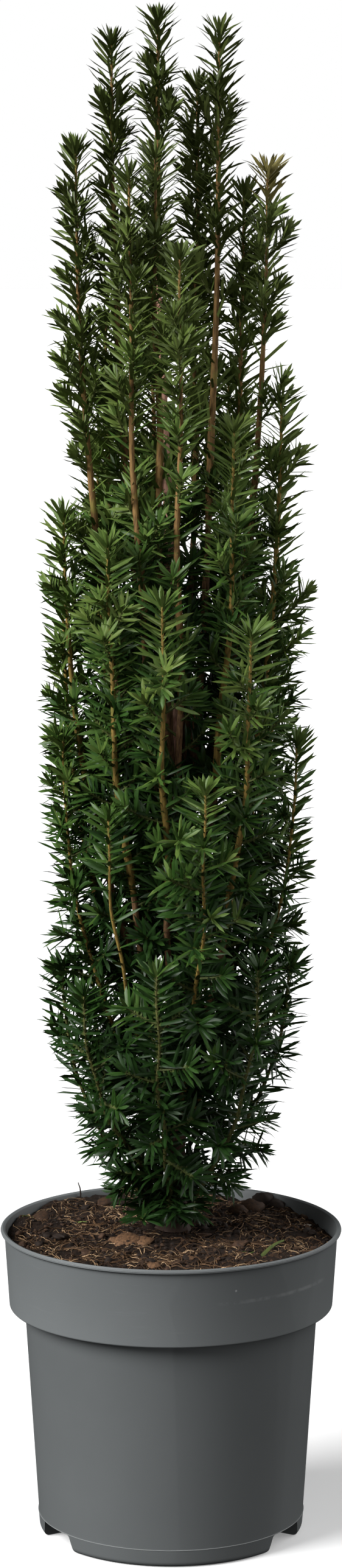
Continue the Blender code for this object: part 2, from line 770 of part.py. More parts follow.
def main():
    clear_scene()
    parts = make_collection(OBJECT_NAME)
    cutters = make_collection("cutters", helper=True)
    plastic = make_material("grey_plastic", (0.125, 0.140, 0.143), 0.62)
    peat = make_material("potting_soil", (0.075, 0.045, 0.028), 0.95)
    bark = make_material("red_brown_bark", (0.150, 0.075, 0.045), 0.85)
    young_bark = make_material("young_bark", (0.185, 0.105, 0.050), 0.75)
    low_needles = make_material("dark_needles", (0.020, 0.052, 0.018), 0.45)
    high_needles = make_material("olive_needles", (0.045, 0.090, 0.030), 0.50)
    build_pot(parts, cutters, plastic)
    build_soil(parts, peat)
    build_trunk(parts, bark)
    for limb in BOUGHS:
        build_bough(limb, parts, young_bark)
    limbs = (CREST, *BOUGHS, *TRUNK_SHOOTS)
    spaces = share_out(limbs)
    for limb in limbs:
        grow_mass(limb, spaces, parts, high_needles if limb.tip > OLIVE_ABOVE else low_needles)
    shade(parts.objects)


main()
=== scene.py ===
"""Columnar yew in its grey nursery pot: plastic, soil, bark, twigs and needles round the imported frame.

Sizes are in metres with +Z up, and the origin is on the ground under the pot's axis. Trunk, boughs and
shoots follow the rule that the solids were laid out by, carried on to finer twigs and needles.
"""

import logging
import math
import random
from dataclasses import dataclass, field, replace
from enum import Enum
from typing import Any, Iterable, Sequence

import bpy
import numpy as np
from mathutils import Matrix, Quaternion, Vector, noise
from mathutils.kdtree import KDTree


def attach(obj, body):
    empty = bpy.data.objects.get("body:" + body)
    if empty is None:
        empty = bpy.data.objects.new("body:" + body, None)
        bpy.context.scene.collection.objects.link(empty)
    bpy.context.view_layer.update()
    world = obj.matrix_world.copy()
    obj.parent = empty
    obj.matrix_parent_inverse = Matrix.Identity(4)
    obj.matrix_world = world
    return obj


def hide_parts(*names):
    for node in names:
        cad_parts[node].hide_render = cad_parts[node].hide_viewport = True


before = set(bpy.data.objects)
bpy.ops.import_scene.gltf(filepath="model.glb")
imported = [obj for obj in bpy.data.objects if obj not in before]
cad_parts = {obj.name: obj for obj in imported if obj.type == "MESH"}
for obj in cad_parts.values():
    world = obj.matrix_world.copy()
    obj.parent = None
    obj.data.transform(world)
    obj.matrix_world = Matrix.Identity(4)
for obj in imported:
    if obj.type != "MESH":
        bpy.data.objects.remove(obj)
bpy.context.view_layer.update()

log = logging.getLogger("yew")
Colour = tuple[float, float, float]
Pair = tuple[float, float]
Profile = list[Pair]
Arrays = tuple[np.ndarray, np.ndarray]
Box = tuple[Vector, Vector]
Materials = Sequence[bpy.types.Material]

SEED = 11
GAP = 0.0003
GOLDEN_ANGLE = math.radians(137.5)


# Shader maths


class Wire:
    """An output socket of a material's graph, on which Python's operators add Math nodes."""

    def __init__(self, graph: "Graph", socket: bpy.types.NodeSocket) -> None:
        """Wrap an output socket of a graph."""
        self.graph = graph
        self.socket = socket

    def _math(self, operation: str, *values: "Wire | float") -> "Wire":
        """Return the result of a Math node on these values."""
        return self.graph.node("ShaderNodeMath", {"operation": operation}, dict(enumerate(values)))

    def __add__(self, other: "Wire | float") -> "Wire":
        """Return self + other."""
        return self._math("ADD", self, other)

    def __sub__(self, other: "Wire | float") -> "Wire":
        """Return self - other."""
        return self._math("SUBTRACT", self, other)

    def __rsub__(self, other: float) -> "Wire":
        """Return other - self."""
        return self._math("SUBTRACT", other, self)

    def __mul__(self, other: "Wire | float") -> "Wire":
        """Return self * other."""
        return self._math("MULTIPLY", self, other)

    __radd__ = __add__
    __rmul__ = __mul__

    def clamped(self) -> "Wire":
        """Return the value held between 0 and 1."""
        return self._math("MINIMUM", self._math("MAXIMUM", self, 0.0), 1.0)

    def rising(self, low: float, high: float) -> "Wire":
        """Return 0 below low, 1 above high, and an even rise between them."""
        return ((self - low) * (1.0 / (high - low))).clamped()


class Graph:
    """The node graph of one material."""

    def __init__(self, name: str) -> None:
        """Start a material with its Principled shader.

        Args:
            name: The material's name.
        """
        self.material = bpy.data.materials.new(name)
        self.material.use_nodes = True
        self.tree = self.material.node_tree
        self.shader = self.tree.nodes["Principled BSDF"]

    def node(
        self, kind: str, settings: dict[str, Any], inputs: dict[Any, Any], output: int | str = 0
    ) -> Wire:
        """Add a node.

        Args:
            kind: The node's type.
            settings: Values set on the node before its sockets; "stops" fills a colour ramp.
            inputs: Socket name or number, with a value or a wire for it.
            output: Which output to return.

        Returns:
            The chosen output.
        """
        made = self.tree.nodes.new(kind)
        for key, value in settings.items():
            if key == "stops":
                self._fill_ramp(made.color_ramp, value)
            else:
                setattr(made, key, value)
        for key, value in inputs.items():
            if isinstance(value, Wire):
                self.tree.links.new(value.socket, made.inputs[key])
            else:
                made.inputs[key].default_value = value
        return Wire(self, made.outputs[output])

    @staticmethod
    def _fill_ramp(ramp: bpy.types.ColorRamp, stops: Sequence[tuple[float, Colour]]) -> None:
        """Set a ramp's stops.

        Args:
            ramp: The ramp.
            stops: A place from 0 to 1 and a colour for each.
        """
        while len(ramp.elements) < len(stops):
            ramp.elements.new(1.0)
        for element, (place, colour) in zip(ramp.elements, stops):
            element.position = place
            element.color = (*colour, 1.0)

    def place(self, stretch: tuple[float, float, float] = (1.0, 1.0, 1.0)) -> Wire:
        """Return the point on the object, in metres, stretched along each axis."""
        point = self.node("ShaderNodeTexCoord", {}, {}, "Object")
        return self.node("ShaderNodeVectorMath", {"operation": "MULTIPLY"}, {0: point, 1: stretch})

    def axis(self, which: str) -> Wire:
        """Return one coordinate of the point on the object: X, Y or Z."""
        return self.node("ShaderNodeSeparateXYZ", {}, {0: self.place()}, which)

    def noise(self, scale: float, detail: float = 3.0, rough: float = 0.55, at: Wire | None = None) -> Wire:
        """Return noise from 0 to 1 at a point, or at the point on the object, with features per metre."""
        inputs = {"Vector": at or self.place(), "Scale": scale, "Detail": detail, "Roughness": rough}
        return self.node("ShaderNodeTexNoise", {}, inputs, "Fac")

    def ramp(self, value: Wire, stops: Sequence[tuple[float, Colour]]) -> Wire:
        """Return a colour picked from stops by a value."""
        return self.node("ShaderNodeValToRGB", {"stops": stops}, {"Fac": value}, "Color")

    def blend(self, factor: Wire | float, first: Wire | Colour, second: Wire | Colour) -> Wire:
        """Return a colour between two colours."""
        inputs = {0: factor, 6: self._colour(first), 7: self._colour(second)}
        return self.node("ShaderNodeMix", {"data_type": "RGBA"}, inputs, 2)

    @staticmethod
    def _colour(value: Wire | Colour) -> Any:
        """Return a socket value for a colour, or the wire itself."""
        return value if isinstance(value, Wire) else (*value, 1.0)

    def bump(self, height: Wire, strength: float, distance: float) -> Wire:
        """Return a normal bent by a height."""
        inputs = {"Height": height, "Strength": strength, "Distance": distance}
        return self.node("ShaderNodeBump", {}, inputs, "Normal")

    def finish(self, **sockets: Any) -> bpy.types.Material:
        """Link or set the shader's sockets.

        Args:
            sockets: A value, colour or wire for each socket, with _ for a space in its name.

        Returns:
            The material.
        """
        for key, value in sockets.items():
            socket = self.shader.inputs[key.replace("_", " ")]
            if isinstance(value, Wire):
                self.tree.links.new(value.socket, socket)
            elif isinstance(value, tuple):
                socket.default_value = (*value, 1.0)
            else:
                socket.default_value = value
        return self.material


# Finishes


@dataclass(frozen=True)
class PlasticFinish:
    """Matte moulded plastic with a fine grain, cloudy tone, and faint scuffs round the band.

    Below the band it is darkened by the body shade factor, as painted shade that leaves band and lip
    lighter than the body as if lit more, and body_fade says how far below the band's foot that starts
    and ends. The scratch lies at one height, between two turns round the axis.
    """

    base: Colour = (0.134, 0.145, 0.147)
    # lighter tone of mottle and scuffs; in the seam's plastic it is a painted highlight
    wear_and_highlight: Colour = (0.176, 0.188, 0.191)
    # painted shade: factor that darkens the body below the band, so band and lip look lit more
    body_painted_shade: float = 0.75
    roughness: float = 0.52
    band: Pair = (0.172, 0.222)
    band_fade: float = 0.004
    body_fade: Pair = (0.004, 0.002)
    streaks: Pair = (3.0, 420.0)
    mark: Colour = (0.480, 0.490, 0.490)
    scratch_height: float = 0.2003
    scratch_edges: Pair = (0.0006, 0.0018)
    scratch_turn: Pair = (-1.24, -0.50)
    scratch_fades: Pair = (0.06, 0.10)
    scratch_strength: float = 0.20
    fleck_place: tuple[float, float, float] = (0.0462, -0.1127, 0.2090)
    fleck_size: float = 0.0011

    def scratch(self, graph: Graph, height: Wire, turn: Wire) -> Wire:
        """Draw the long pale scratch on the band's right front.

        Args:
            graph: The material's graph.
            height: The point's height.
            turn: The point's turn round the axis.

        Returns:
            Its strength, from 0 to 1.
        """
        start, end = self.scratch_turn
        start_fade, end_fade = self.scratch_fades
        middle = self.scratch_height
        core, edge = self.scratch_edges
        below = height.rising(middle - edge, middle - core)
        line = below * (1.0 - height.rising(middle + core, middle + edge))
        wear_and_highlight = graph.noise(120.0, 3.0).rising(0.38, 0.56)
        started = line * turn.rising(start - start_fade, start)
        return started * (1.0 - turn.rising(end, end + end_fade)) * wear_and_highlight

    def fleck(self, graph: Graph) -> Wire:
        """Draw the pale fleck on the band's front.

        Args:
            graph: The material's graph.

        Returns:
            Its strength, from 0 to 1.
        """
        ends = {0: graph.place(), 1: self.fleck_place}
        away = graph.node("ShaderNodeVectorMath", {"operation": "DISTANCE"}, ends, "Value")
        return 1.0 - away.rising(0.5 * self.fleck_size, self.fleck_size)

    def material(self) -> bpy.types.Material:
        """Make the material.

        Returns:
            The material.
        """
        graph = Graph("grey_plastic")
        grain = graph.noise(1500.0, 2.0)
        mottle = graph.noise(16.0, 4.0)
        height = graph.axis("Z")
        turn = graph.node(
            "ShaderNodeMath", {"operation": "ARCTAN2"}, {0: graph.axis("Y"), 1: graph.axis("X")}
        )
        round_it, up_it = self.streaks
        strip = graph.node("ShaderNodeCombineXYZ", {}, {0: turn * round_it, 1: 0.0, 2: height * up_it})
        streak = graph.noise(1.0, 4.0, 0.6, strip).rising(0.60, 0.72)
        patch = graph.noise(9.0, 1.0).rising(0.45, 0.60)
        low, high = self.band
        over_band = height.rising(high - self.band_fade, high)
        in_band = height.rising(low, low + self.band_fade) * (1.0 - over_band)
        scuff = streak * patch * in_band
        tone = (mottle * 0.5 + grain * 0.25 + scuff * 0.55).clamped()
        mark = (self.scratch(graph, height, turn) * self.scratch_strength + self.fleck(graph)).clamped()
        # painted shade: darkened copies of both colours for the body; band and lip keep the full colours
        shaded = [tuple(self.body_painted_shade * part for part in colour) for colour in (self.base, self.wear_and_highlight)]
        body, top = graph.blend(tone, *shaded), graph.blend(tone, self.base, self.wear_and_highlight)
        fade_low, fade_high = self.body_fade
        plain = graph.blend(height.rising(low - fade_low, low - fade_high), body, top)
        return graph.finish(
            Base_Color=graph.blend(mark, plain, self.mark),
            Roughness=self.roughness + mottle * 0.08 - scuff * 0.06,
            Normal=graph.bump(grain + scuff * 0.6, 0.10, 0.0004),
            Specular_IOR_Level=0.42,
        )


@dataclass(frozen=True)
class PeatFinish:
    """Moist peat: near-black hollows, wet and in painted shade, brown crumbs and a dusting of rusty coir.
    """

    wet_and_shaded: Colour = (0.005, 0.003, 0.002)
    brown: Colour = (0.012, 0.006, 0.003)
    rust: Colour = (0.028, 0.013, 0.006)
    straw: Colour = (0.085, 0.052, 0.026)

    def material(self) -> bpy.types.Material:
        """Make the material.

        Returns:
            The material.
        """
        graph = Graph("moist_peat")
        crumb = graph.noise(420.0, 5.0, 0.68)
        patch = graph.noise(60.0, 3.0)
        # the first, near-black stop falls in the hollows of the crumb relief: wet peat and painted shade
        stops = ((0.30, self.wet_and_shaded), (0.50, self.brown), (0.66, self.rust), (0.80, self.straw))
        return graph.finish(
            Base_Color=graph.ramp(crumb * 0.75 + patch * 0.25, stops),
            Roughness=0.86 + crumb * 0.12,
            Normal=graph.bump(crumb, 0.9, 0.0012),
            Specular_IOR_Level=0.25,
        )


@dataclass(frozen=True)
class StrawFinish:
    """A dry scrap of plant in the soil: fibre, coir, root, chip or blade."""

    name: str
    light: Colour
    dark: Colour
    grain: float = 900.0

    def material(self) -> bpy.types.Material:
        """Make the material.

        Returns:
            The material.
        """
        graph = Graph(self.name)
        mottle = graph.noise(self.grain, 3.0)
        return graph.finish(
            Base_Color=graph.blend(mottle.rising(0.30, 0.70), self.dark, self.light),
            Roughness=0.72 + mottle * 0.16,
            Normal=graph.bump(mottle, 0.35, 0.0003),
            Specular_IOR_Level=0.30,
        )


@dataclass(frozen=True)
class BarkFinish:
    """Yew bark: long ribs with dark furrows between them, and a greener skin on young wood.

    It is darker below the first of two heights, and keeps its own colours above the second.
    """

    name: str
    ridge: Colour
    furrow: Colour
    fresh: Colour
    greenness: float
    flakes: float = 55.0
    darkening_heights: Pair = (0.0, 0.001)
    low_colour: Colour = (0.040, 0.022, 0.014)

    def material(self) -> bpy.types.Material:
        """Make the material.

        Returns:
            The material.
        """
        graph = Graph(self.name)
        ribs = graph.noise(1150.0, 4.0, 0.6, graph.place((1.0, 1.0, 0.10)))
        flake = graph.noise(self.flakes * 4.0, 4.0, 0.65, graph.place((1.0, 1.0, 0.45)))
        skin = graph.noise(self.flakes, 2.0)
        bark = graph.blend(ribs.rising(0.36, 0.62), self.furrow, self.ridge)
        green = skin.rising(1.0 - self.greenness, 1.15 - self.greenness)
        # share of the bark's own colours: the dark low colour below the first height, full colours above
        # the second
        dry = graph.axis("Z").rising(*self.darkening_heights)
        return graph.finish(
            Base_Color=graph.blend(dry, self.low_colour, graph.blend(green, bark, self.fresh)),
            Roughness=0.62 + flake * 0.25,
            Normal=graph.bump(ribs * 0.7 + flake * 0.5, 0.6, 0.0006),
            Specular_IOR_Level=0.35,
        )


@dataclass(frozen=True)
class NeedleFinish:
    """A needle's leathery skin in one plain tone, with a faint fleck."""

    name: str
    colour: Colour
    roughness: float
    shade: float = 0.74

    def material(self) -> bpy.types.Material:
        """Make the material.

        Returns:
            The material.
        """
        graph = Graph(self.name)
        fleck = graph.noise(260.0, 2.0)
        shaded = tuple(self.shade * part for part in self.colour)
        return graph.finish(
            Base_Color=graph.blend(fleck.rising(0.30, 0.70), shaded, self.colour),
            Roughness=self.roughness + fleck * 0.14,
            Normal=graph.bump(fleck, 0.12, 0.0004),
            Specular_IOR_Level=0.20,
        )


@dataclass(frozen=True)
class PaperFinish:
    """The pale studio floor."""

    colour: Colour = (0.90, 0.90, 0.90)
    shade: float = 0.985
    glow: float = 0.22

    def material(self) -> bpy.types.Material:
        """Make the material.

        Returns:
            The material.
        """
        graph = Graph("pale_floor")
        fibre = graph.noise(30.0, 2.0)
        shaded = tuple(self.shade * part for part in self.colour)
        return graph.finish(
            Base_Color=graph.blend(fibre, shaded, self.colour),
            Roughness=0.85 + fibre * 0.05,
            Specular_IOR_Level=0.1,
            Emission_Color=(1.0, 1.0, 1.0),
            Emission_Strength=self.glow,
        )


# Mesh tools


def add_object(name: str, mesh: bpy.types.Mesh, materials: Materials) -> bpy.types.Object:
    """Put a mesh in the scene.

    Args:
        name: The object's name.
        mesh: Its mesh.
        materials: Its materials, in the order of the faces' kinds.

    Returns:
        The object.
    """
    made = bpy.data.objects.new(name, mesh)
    bpy.context.scene.collection.objects.link(made)
    for material in materials:
        mesh.materials.append(material)
    return made


def mesh_of(
    name: str, points: np.ndarray, faces: np.ndarray, kinds: np.ndarray | None = None, sharp: float = 40.0
) -> bpy.types.Mesh:
    """Make a mesh of triangles.

    Args:
        name: The mesh's name.
        points: One row of x, y, z for each point.
        faces: One row of three point numbers for each triangle.
        kinds: Material number of each triangle, or None for the first.
        sharp: Angle in degrees above which an edge stays sharp.

    Returns:
        The mesh, shaded smooth.
    """
    mesh = bpy.data.meshes.new(name)
    mesh.vertices.add(len(points))
    mesh.vertices.foreach_set("co", np.ascontiguousarray(points, dtype=np.float32).ravel())
    mesh.loops.add(faces.size)
    mesh.loops.foreach_set("vertex_index", np.ascontiguousarray(faces, dtype=np.int32).ravel())
    mesh.polygons.add(len(faces))
    mesh.polygons.foreach_set("loop_start", np.arange(0, faces.size, 3, dtype=np.int32))
    if kinds is not None:
        mesh.polygons.foreach_set("material_index", kinds.astype(np.int32))
    mesh.update(calc_edges=True)
    mesh.shade_smooth()
    mesh.set_sharp_from_angle(angle=math.radians(sharp))
    return mesh


@dataclass
class Bank:
    """Collects many small closed shapes, to be joined into one piece."""

    points: list[np.ndarray] = field(default_factory=list)
    faces: list[np.ndarray] = field(default_factory=list)
    kinds: list[np.ndarray] = field(default_factory=list)
    count: int = 0

    def add(self, shape: Arrays, kind: int = 0) -> None:
        """Add a shape.

        Args:
            shape: Its points and triangles.
            kind: Its material number.
        """
        points, faces = shape
        self.points.append(points)
        self.faces.append(faces + self.count)
        self.kinds.append(np.full(len(faces), kind))
        self.count += len(points)

    def build(self, name: str, materials: Materials, sharp: float = 40.0) -> bpy.types.Object:
        """Join every shape.

        Args:
            name: The object's name.
            materials: Its materials.
            sharp: Angle in degrees above which an edge stays sharp.

        Returns:
            One object that holds them all.
        """
        points, faces = np.concatenate(self.points), np.concatenate(self.faces)
        mesh = mesh_of(name, points, faces, np.concatenate(self.kinds), sharp)
        return add_object(name, mesh, materials)


def ring_faces(rings: int, sides: int) -> np.ndarray:
    """Join rings of points, each ring one way round its path.

    Args:
        rings: How many rings.
        sides: Points in each.

    Returns:
        The triangles between them.
    """
    low = np.arange(rings - 1)[:, None] * sides + np.arange(sides)[None, :]
    along = np.roll(np.arange(sides), -1)
    near = np.arange(rings - 1)[:, None] * sides + along[None, :]
    first = np.stack([low, near, near + sides], axis=-1).reshape(-1, 3)
    second = np.stack([low, near + sides, low + sides], axis=-1).reshape(-1, 3)
    return np.concatenate([first, second])


def fan(sides: int, start: int, tip: int, turned: bool = False) -> np.ndarray:
    """Close a ring of points with triangles to one point.

    Args:
        sides: Points in the ring.
        start: Number of its first point.
        tip: Number of the one point.
        turned: Whether the triangles face the other way.

    Returns:
        The triangles.
    """
    around = np.arange(sides) + start
    beside = np.roll(around, -1)
    edge = (beside, around) if turned else (around, beside)
    return np.stack([*edge, np.full(sides, tip)], axis=-1)


def tube(points: Sequence[Vector], radii: np.ndarray, sides: int) -> Arrays:
    """Make a closed tube along a path.

    Args:
        points: The path.
        radii: One radius for each point, or one for each point and side.
        sides: Points round the tube.

    Returns:
        The tube's points and triangles, pointed at its far end.
    """
    path = np.array([tuple(point) for point in points])
    ahead = np.gradient(path, axis=0)
    ahead /= np.linalg.norm(ahead, axis=1)[:, None]
    side = np.cross(ahead[0], (0.0, 1.0, 0.0) if abs(ahead[0][1]) < 0.9 else (1.0, 0.0, 0.0))
    turns = np.arange(sides) * math.tau / sides
    radii = np.asarray(radii, dtype=float)
    if radii.ndim == 1:
        radii = np.repeat(radii[:, None], sides, axis=1)
    rings = []
    for place, forward, reach in zip(path, ahead, radii):
        side = side - forward * np.dot(side, forward)
        side /= np.linalg.norm(side)
        across = np.cross(forward, side)
        out = np.cos(turns)[:, None] * side + np.sin(turns)[:, None] * across
        rings.append(place + out * reach[:, None])
    count = len(path)
    made = np.concatenate([*rings, path[:1], path[-1:] + ahead[-1:] * radii[-1].mean()])
    foot, tip = count * sides, count * sides + 1
    caps = [fan(sides, 0, foot, turned=True), fan(sides, foot - sides, tip)]
    return made, np.concatenate([ring_faces(count, sides), *caps])


def revolve(profile: Profile, sides: int) -> Arrays:
    """Turn a section about Z.

    Args:
        profile: Radius and height of each point, up the inside and down the outside, from axis to axis.
        sides: Points round the shape.

    Returns:
        The points and triangles of a closed shape.
    """
    turns = np.arange(sides) * math.tau / sides
    rings = [
        np.stack([reach * np.cos(turns), reach * np.sin(turns), np.full(sides, height)], axis=-1)
        for reach, height in profile[1:-1]
    ]
    ends = np.array([[0.0, 0.0, profile[0][1]], [0.0, 0.0, profile[-1][1]]])
    return np.concatenate([*rings, ends]), shell(len(rings), sides)


def shell(rings: int, sides: int) -> np.ndarray:
    """Join rings of points, and close both ends to the two points that come after them.

    Args:
        rings: How many rings.
        sides: Points in each.

    Returns:
        The triangles.
    """
    first, last = rings * sides, rings * sides + 1
    caps = [fan(sides, 0, first), fan(sides, first - sides, last, turned=True)]
    return np.concatenate([ring_faces(rings, sides)[:, ::-1], *caps])


def place_piece(piece: bpy.types.Object, nodes: Iterable[str] = ()) -> bpy.types.Object:
    """Ride a piece on the plant's one body.

    Args:
        piece: The piece.
        nodes: The solids that it stands for, which are hidden.

    Returns:
        The piece.
    """
    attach(piece, "root")
    nodes = tuple(nodes)
    if nodes:
        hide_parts(*nodes)
    log.info("%s: %d faces", piece.name, len(piece.data.polygons))
    return piece


def cloud(x: float, y: float, z: float, size: float) -> float:
    """Return smooth noise of about -1 to 1 at a point, with features of the given size."""
    return noise.noise(Vector((x / size, y / size, z / size)))


def clamped(value: float) -> float:
    """Return a value held between 0 and 1."""
    return max(0.0, min(1.0, value))


def legs_of(path: Sequence[Vector]) -> list[float]:
    """Return the length of each leg of a path."""
    return [(b - a).length for a, b in zip(path, path[1:])]


def heading_of(path: Sequence[Vector], leg: int) -> Vector:
    """Return the direction of one leg of a path."""
    return (path[leg + 1] - path[leg]).normalized()


def sideways(direction: Vector, turn: float) -> Vector:
    """Return a unit vector at right angles to a direction, turned about it."""
    level = direction.cross(Vector((0.0, 1.0, 0.0) if abs(direction.y) < 0.9 else (1.0, 0.0, 0.0)))
    return Quaternion(direction, turn) @ level.normalized()


def within(box: Box, point: Vector) -> bool:
    """Tell whether a point is inside a box."""
    return all(low < part < high for low, part, high in zip(box[0], point, box[1]))


# Pot


@dataclass
class Pot:
    """The grey nursery pot: rolled lip, overhanging band, tapered body and three feet."""

    rim_radius: float = 0.125
    height: float = 0.2272
    wall: float = 0.0016
    lip_height: float = 0.0035
    lip_groove: float = 0.00022
    lip_grooves: tuple[float, ...] = (52.0, 18.0, -16.0)
    lip_groove_width: float = 7.0
    lip_steps: int = 45
    lip_inner_ease: float = 0.0009
    under_lip: tuple[Pair, ...] = ((0.0002, 0.0001), (0.0, 0.0006))
    band_top_radius: float = 0.1222
    band_low_radius: float = 0.1188
    band_low: float = 0.1688
    band_round: float = 0.0016
    body_top_radius: float = 0.1075
    body_top: float = 0.1680
    step_ease: float = 0.0010
    body_low_radius: float = 0.0978
    foot_seam: float = 0.0132
    foot_ledge: float = 0.0004
    foot_round: float = 0.0045
    foot_inner_radius: float = 0.070
    foot_inner_slope: float = 0.004
    underside: float = 0.0105
    floor_top: float = 0.0155
    floor_round: float = 0.006
    sides: int = 180
    notch_count: int = 3
    first_notch: float = math.radians(-30.0)
    notch_top_width: float = 0.036
    notch_low_width: float = 0.045
    notch_height: float = 0.0129
    notch_reach: Pair = (0.055, 0.115)
    notch_below: float = 0.004
    notch_round: float = 0.0016
    sharp_above: float = 32.0
    seam_steps: int = 360
    seam_radius: float = 0.00022
    seam_swell: float = 0.00012
    seam_waver: float = 0.0001
    seam_noise: float = 0.05

    def body_radius(self, height: float) -> float:
        """Return the outside radius of the body at a height under the band."""
        share = (height - self.foot_seam) / (self.body_top - self.foot_seam)
        return self.body_low_radius + (self.body_top_radius - self.body_low_radius) * share

    @staticmethod
    def arc(centre: Pair, radius: float, start: float, end: float, steps: int) -> Profile:
        """Return points of an arc in the section, with angles in degrees from the outward direction."""
        turns = [math.radians(start + (end - start) * step / steps) for step in range(steps + 1)]
        return [(centre[0] + radius * math.cos(t), centre[1] + radius * math.sin(t)) for t in turns]

    def inside(self) -> Profile:
        """Draw the inner wall.

        Returns:
            Its radii and heights, from the floor to just under the lip.
        """
        low = self.floor_top + self.floor_round
        return [
            (self.body_radius(self.floor_top) - self.floor_round, self.floor_top),
            (self.body_radius(low) - self.wall, low),
            (self.body_top_radius - self.wall, self.body_top + 0.5 * self.wall),
            (self.band_low_radius - self.wall, self.band_low + 1.5 * self.wall),
            (self.band_top_radius - self.wall, self.height - self.lip_height),
        ]

    def lip(self) -> Profile:
        """Draw the rolled lip, with fine grooves moulded round it.

        Returns:
            Its radii and heights, from its top to its underside.
        """
        radius = self.lip_height / 2
        centre = (self.rim_radius - radius, self.height - radius)
        points = []
        for step in range(self.lip_steps + 1):
            degrees = 90.0 - 180.0 * step / self.lip_steps
            away = [(degrees - groove) / self.lip_groove_width for groove in self.lip_grooves]
            dent = max(math.exp(-(share**2)) for share in away)
            points += self.arc(centre, radius - self.lip_groove * dent, degrees, degrees, 1)[:1]
        return points

    def profile(self) -> Profile:
        """Draw half of the section.

        Returns:
            Its radii and heights, from the middle of the floor over the lip to the underside.
        """
        lip_low = self.height - self.lip_height
        foot_radius = self.body_radius(0.0) + self.foot_ledge
        band_centre = (self.band_low_radius - self.band_round, self.band_low + self.band_round)
        ease = self.lip_inner_ease
        points = [(0.0, self.floor_top), *self.inside()]
        points.append((self.band_top_radius - self.wall + ease, self.height - ease))
        points += self.lip()
        points += [(self.band_top_radius + out, lip_low - drop) for out, drop in self.under_lip]
        points += self.arc(band_centre, self.band_round, 0.0, -90.0, 8)
        corner = (self.body_top_radius + self.step_ease, self.body_top - self.step_ease)
        points += self.arc(corner, self.step_ease, 90.0, 180.0, 4)
        seam = self.foot_seam
        points.append((self.body_radius(seam + GAP), seam + GAP))
        points.append((self.body_radius(seam) + self.foot_ledge, seam))
        points += self.arc((foot_radius - self.foot_round, self.foot_round), self.foot_round, 0.0, -90.0, 8)
        points.append((self.foot_inner_radius, 0.0))
        points.append((self.foot_inner_radius - self.foot_inner_slope, self.underside))
        return [*points, (0.0, self.underside)]

    def notch_cutter(self, index: int) -> bpy.types.Object:
        """Make a channel-shaped cutter, wider at the ground, for one gap between two feet.

        Args:
            index: Which gap, from 0.

        Returns:
            The cutter.
        """
        near, far = self.notch_reach
        below = self.notch_below
        flare = (self.notch_low_width - self.notch_top_width) / 2 * below / self.notch_height
        corners = []
        for height in (-below, self.notch_height):
            width = self.notch_top_width if height > 0 else self.notch_low_width + 2 * flare
            for x, y in ((near, -width / 2), (far, -width / 2), (far, width / 2), (near, width / 2)):
                corners.append((x, y, height))
        sides = [(i, (i + 1) % 4, (i + 1) % 4 + 4, i + 4) for i in range(4)]
        mesh = bpy.data.meshes.new(f"notch_cutter_{index}")
        mesh.from_pydata(corners, [], [(3, 2, 1, 0), (4, 5, 6, 7), *sides])
        cutter = add_object(mesh.name, mesh, ())
        cutter.rotation_euler.z = self.first_notch + index * math.tau / self.notch_count
        rounding = cutter.modifiers.new("rounding", "BEVEL")
        rounding.width = self.notch_round
        rounding.segments = 3
        return cutter

    def build(self, finish: PlasticFinish) -> bpy.types.Object:
        """Make the pot and cut its notches.

        Args:
            finish: Its plastic.

        Returns:
            The pot.
        """
        material = finish.material()
        points, faces = revolve(self.profile(), self.sides)
        pot = add_object("grey_pot", mesh_of("grey_pot", points, faces), (material,))
        cutters = [self.notch_cutter(index) for index in range(self.notch_count)]
        for cutter in cutters:
            cut = pot.modifiers.new(cutter.name, "BOOLEAN")
            cut.operation = "DIFFERENCE"
            cut.solver = "EXACT"
            cut.object = cutter
        apply_modifiers(pot)
        for cutter in cutters:
            bpy.data.objects.remove(cutter, do_unlink=True)
        pot.data.shade_smooth()
        pot.data.set_sharp_from_angle(angle=math.radians(self.sharp_above))
        return place_piece(pot, ("pot",))

    def build_seam(self, finish: PlasticFinish) -> bpy.types.Object:
        """Make the thin moulding line left round the body above the feet, as two half rings.

        Args:
            finish: Its plastic, paler than the pot's as a painted highlight along the line.

        Returns:
            The line.
        """
        steps = self.seam_steps
        reach = self.body_radius(self.foot_seam) + self.foot_ledge
        points, radii = [], []
        for step in range(steps):
            turn = math.tau * step / steps
            rough = cloud(math.cos(turn), math.sin(turn), 0.0, self.seam_noise)
            height = self.foot_seam + self.seam_waver * rough
            points.append(Vector((reach * math.cos(turn), reach * math.sin(turn), height)))
            radii.append(self.seam_radius + self.seam_swell * rough)
        bank = Bank()
        half = steps // 2
        for start in (0, half):
            places = [(start + i) % steps for i in range(half + 2)]
            bank.add(tube([points[i] for i in places], np.array([radii[i] for i in places]), 5))
        return place_piece(bank.build("mould_seam", (finish.material(),)))


def apply_modifiers(thing: bpy.types.Object) -> None:
    """Make a piece's evaluated shape its own mesh.

    Args:
        thing: The piece.
    """
    graph = bpy.context.evaluated_depsgraph_get()
    shaped = bpy.data.meshes.new_from_object(thing.evaluated_get(graph))
    thing.modifiers.clear()
    thing.data = shaped


# Soil


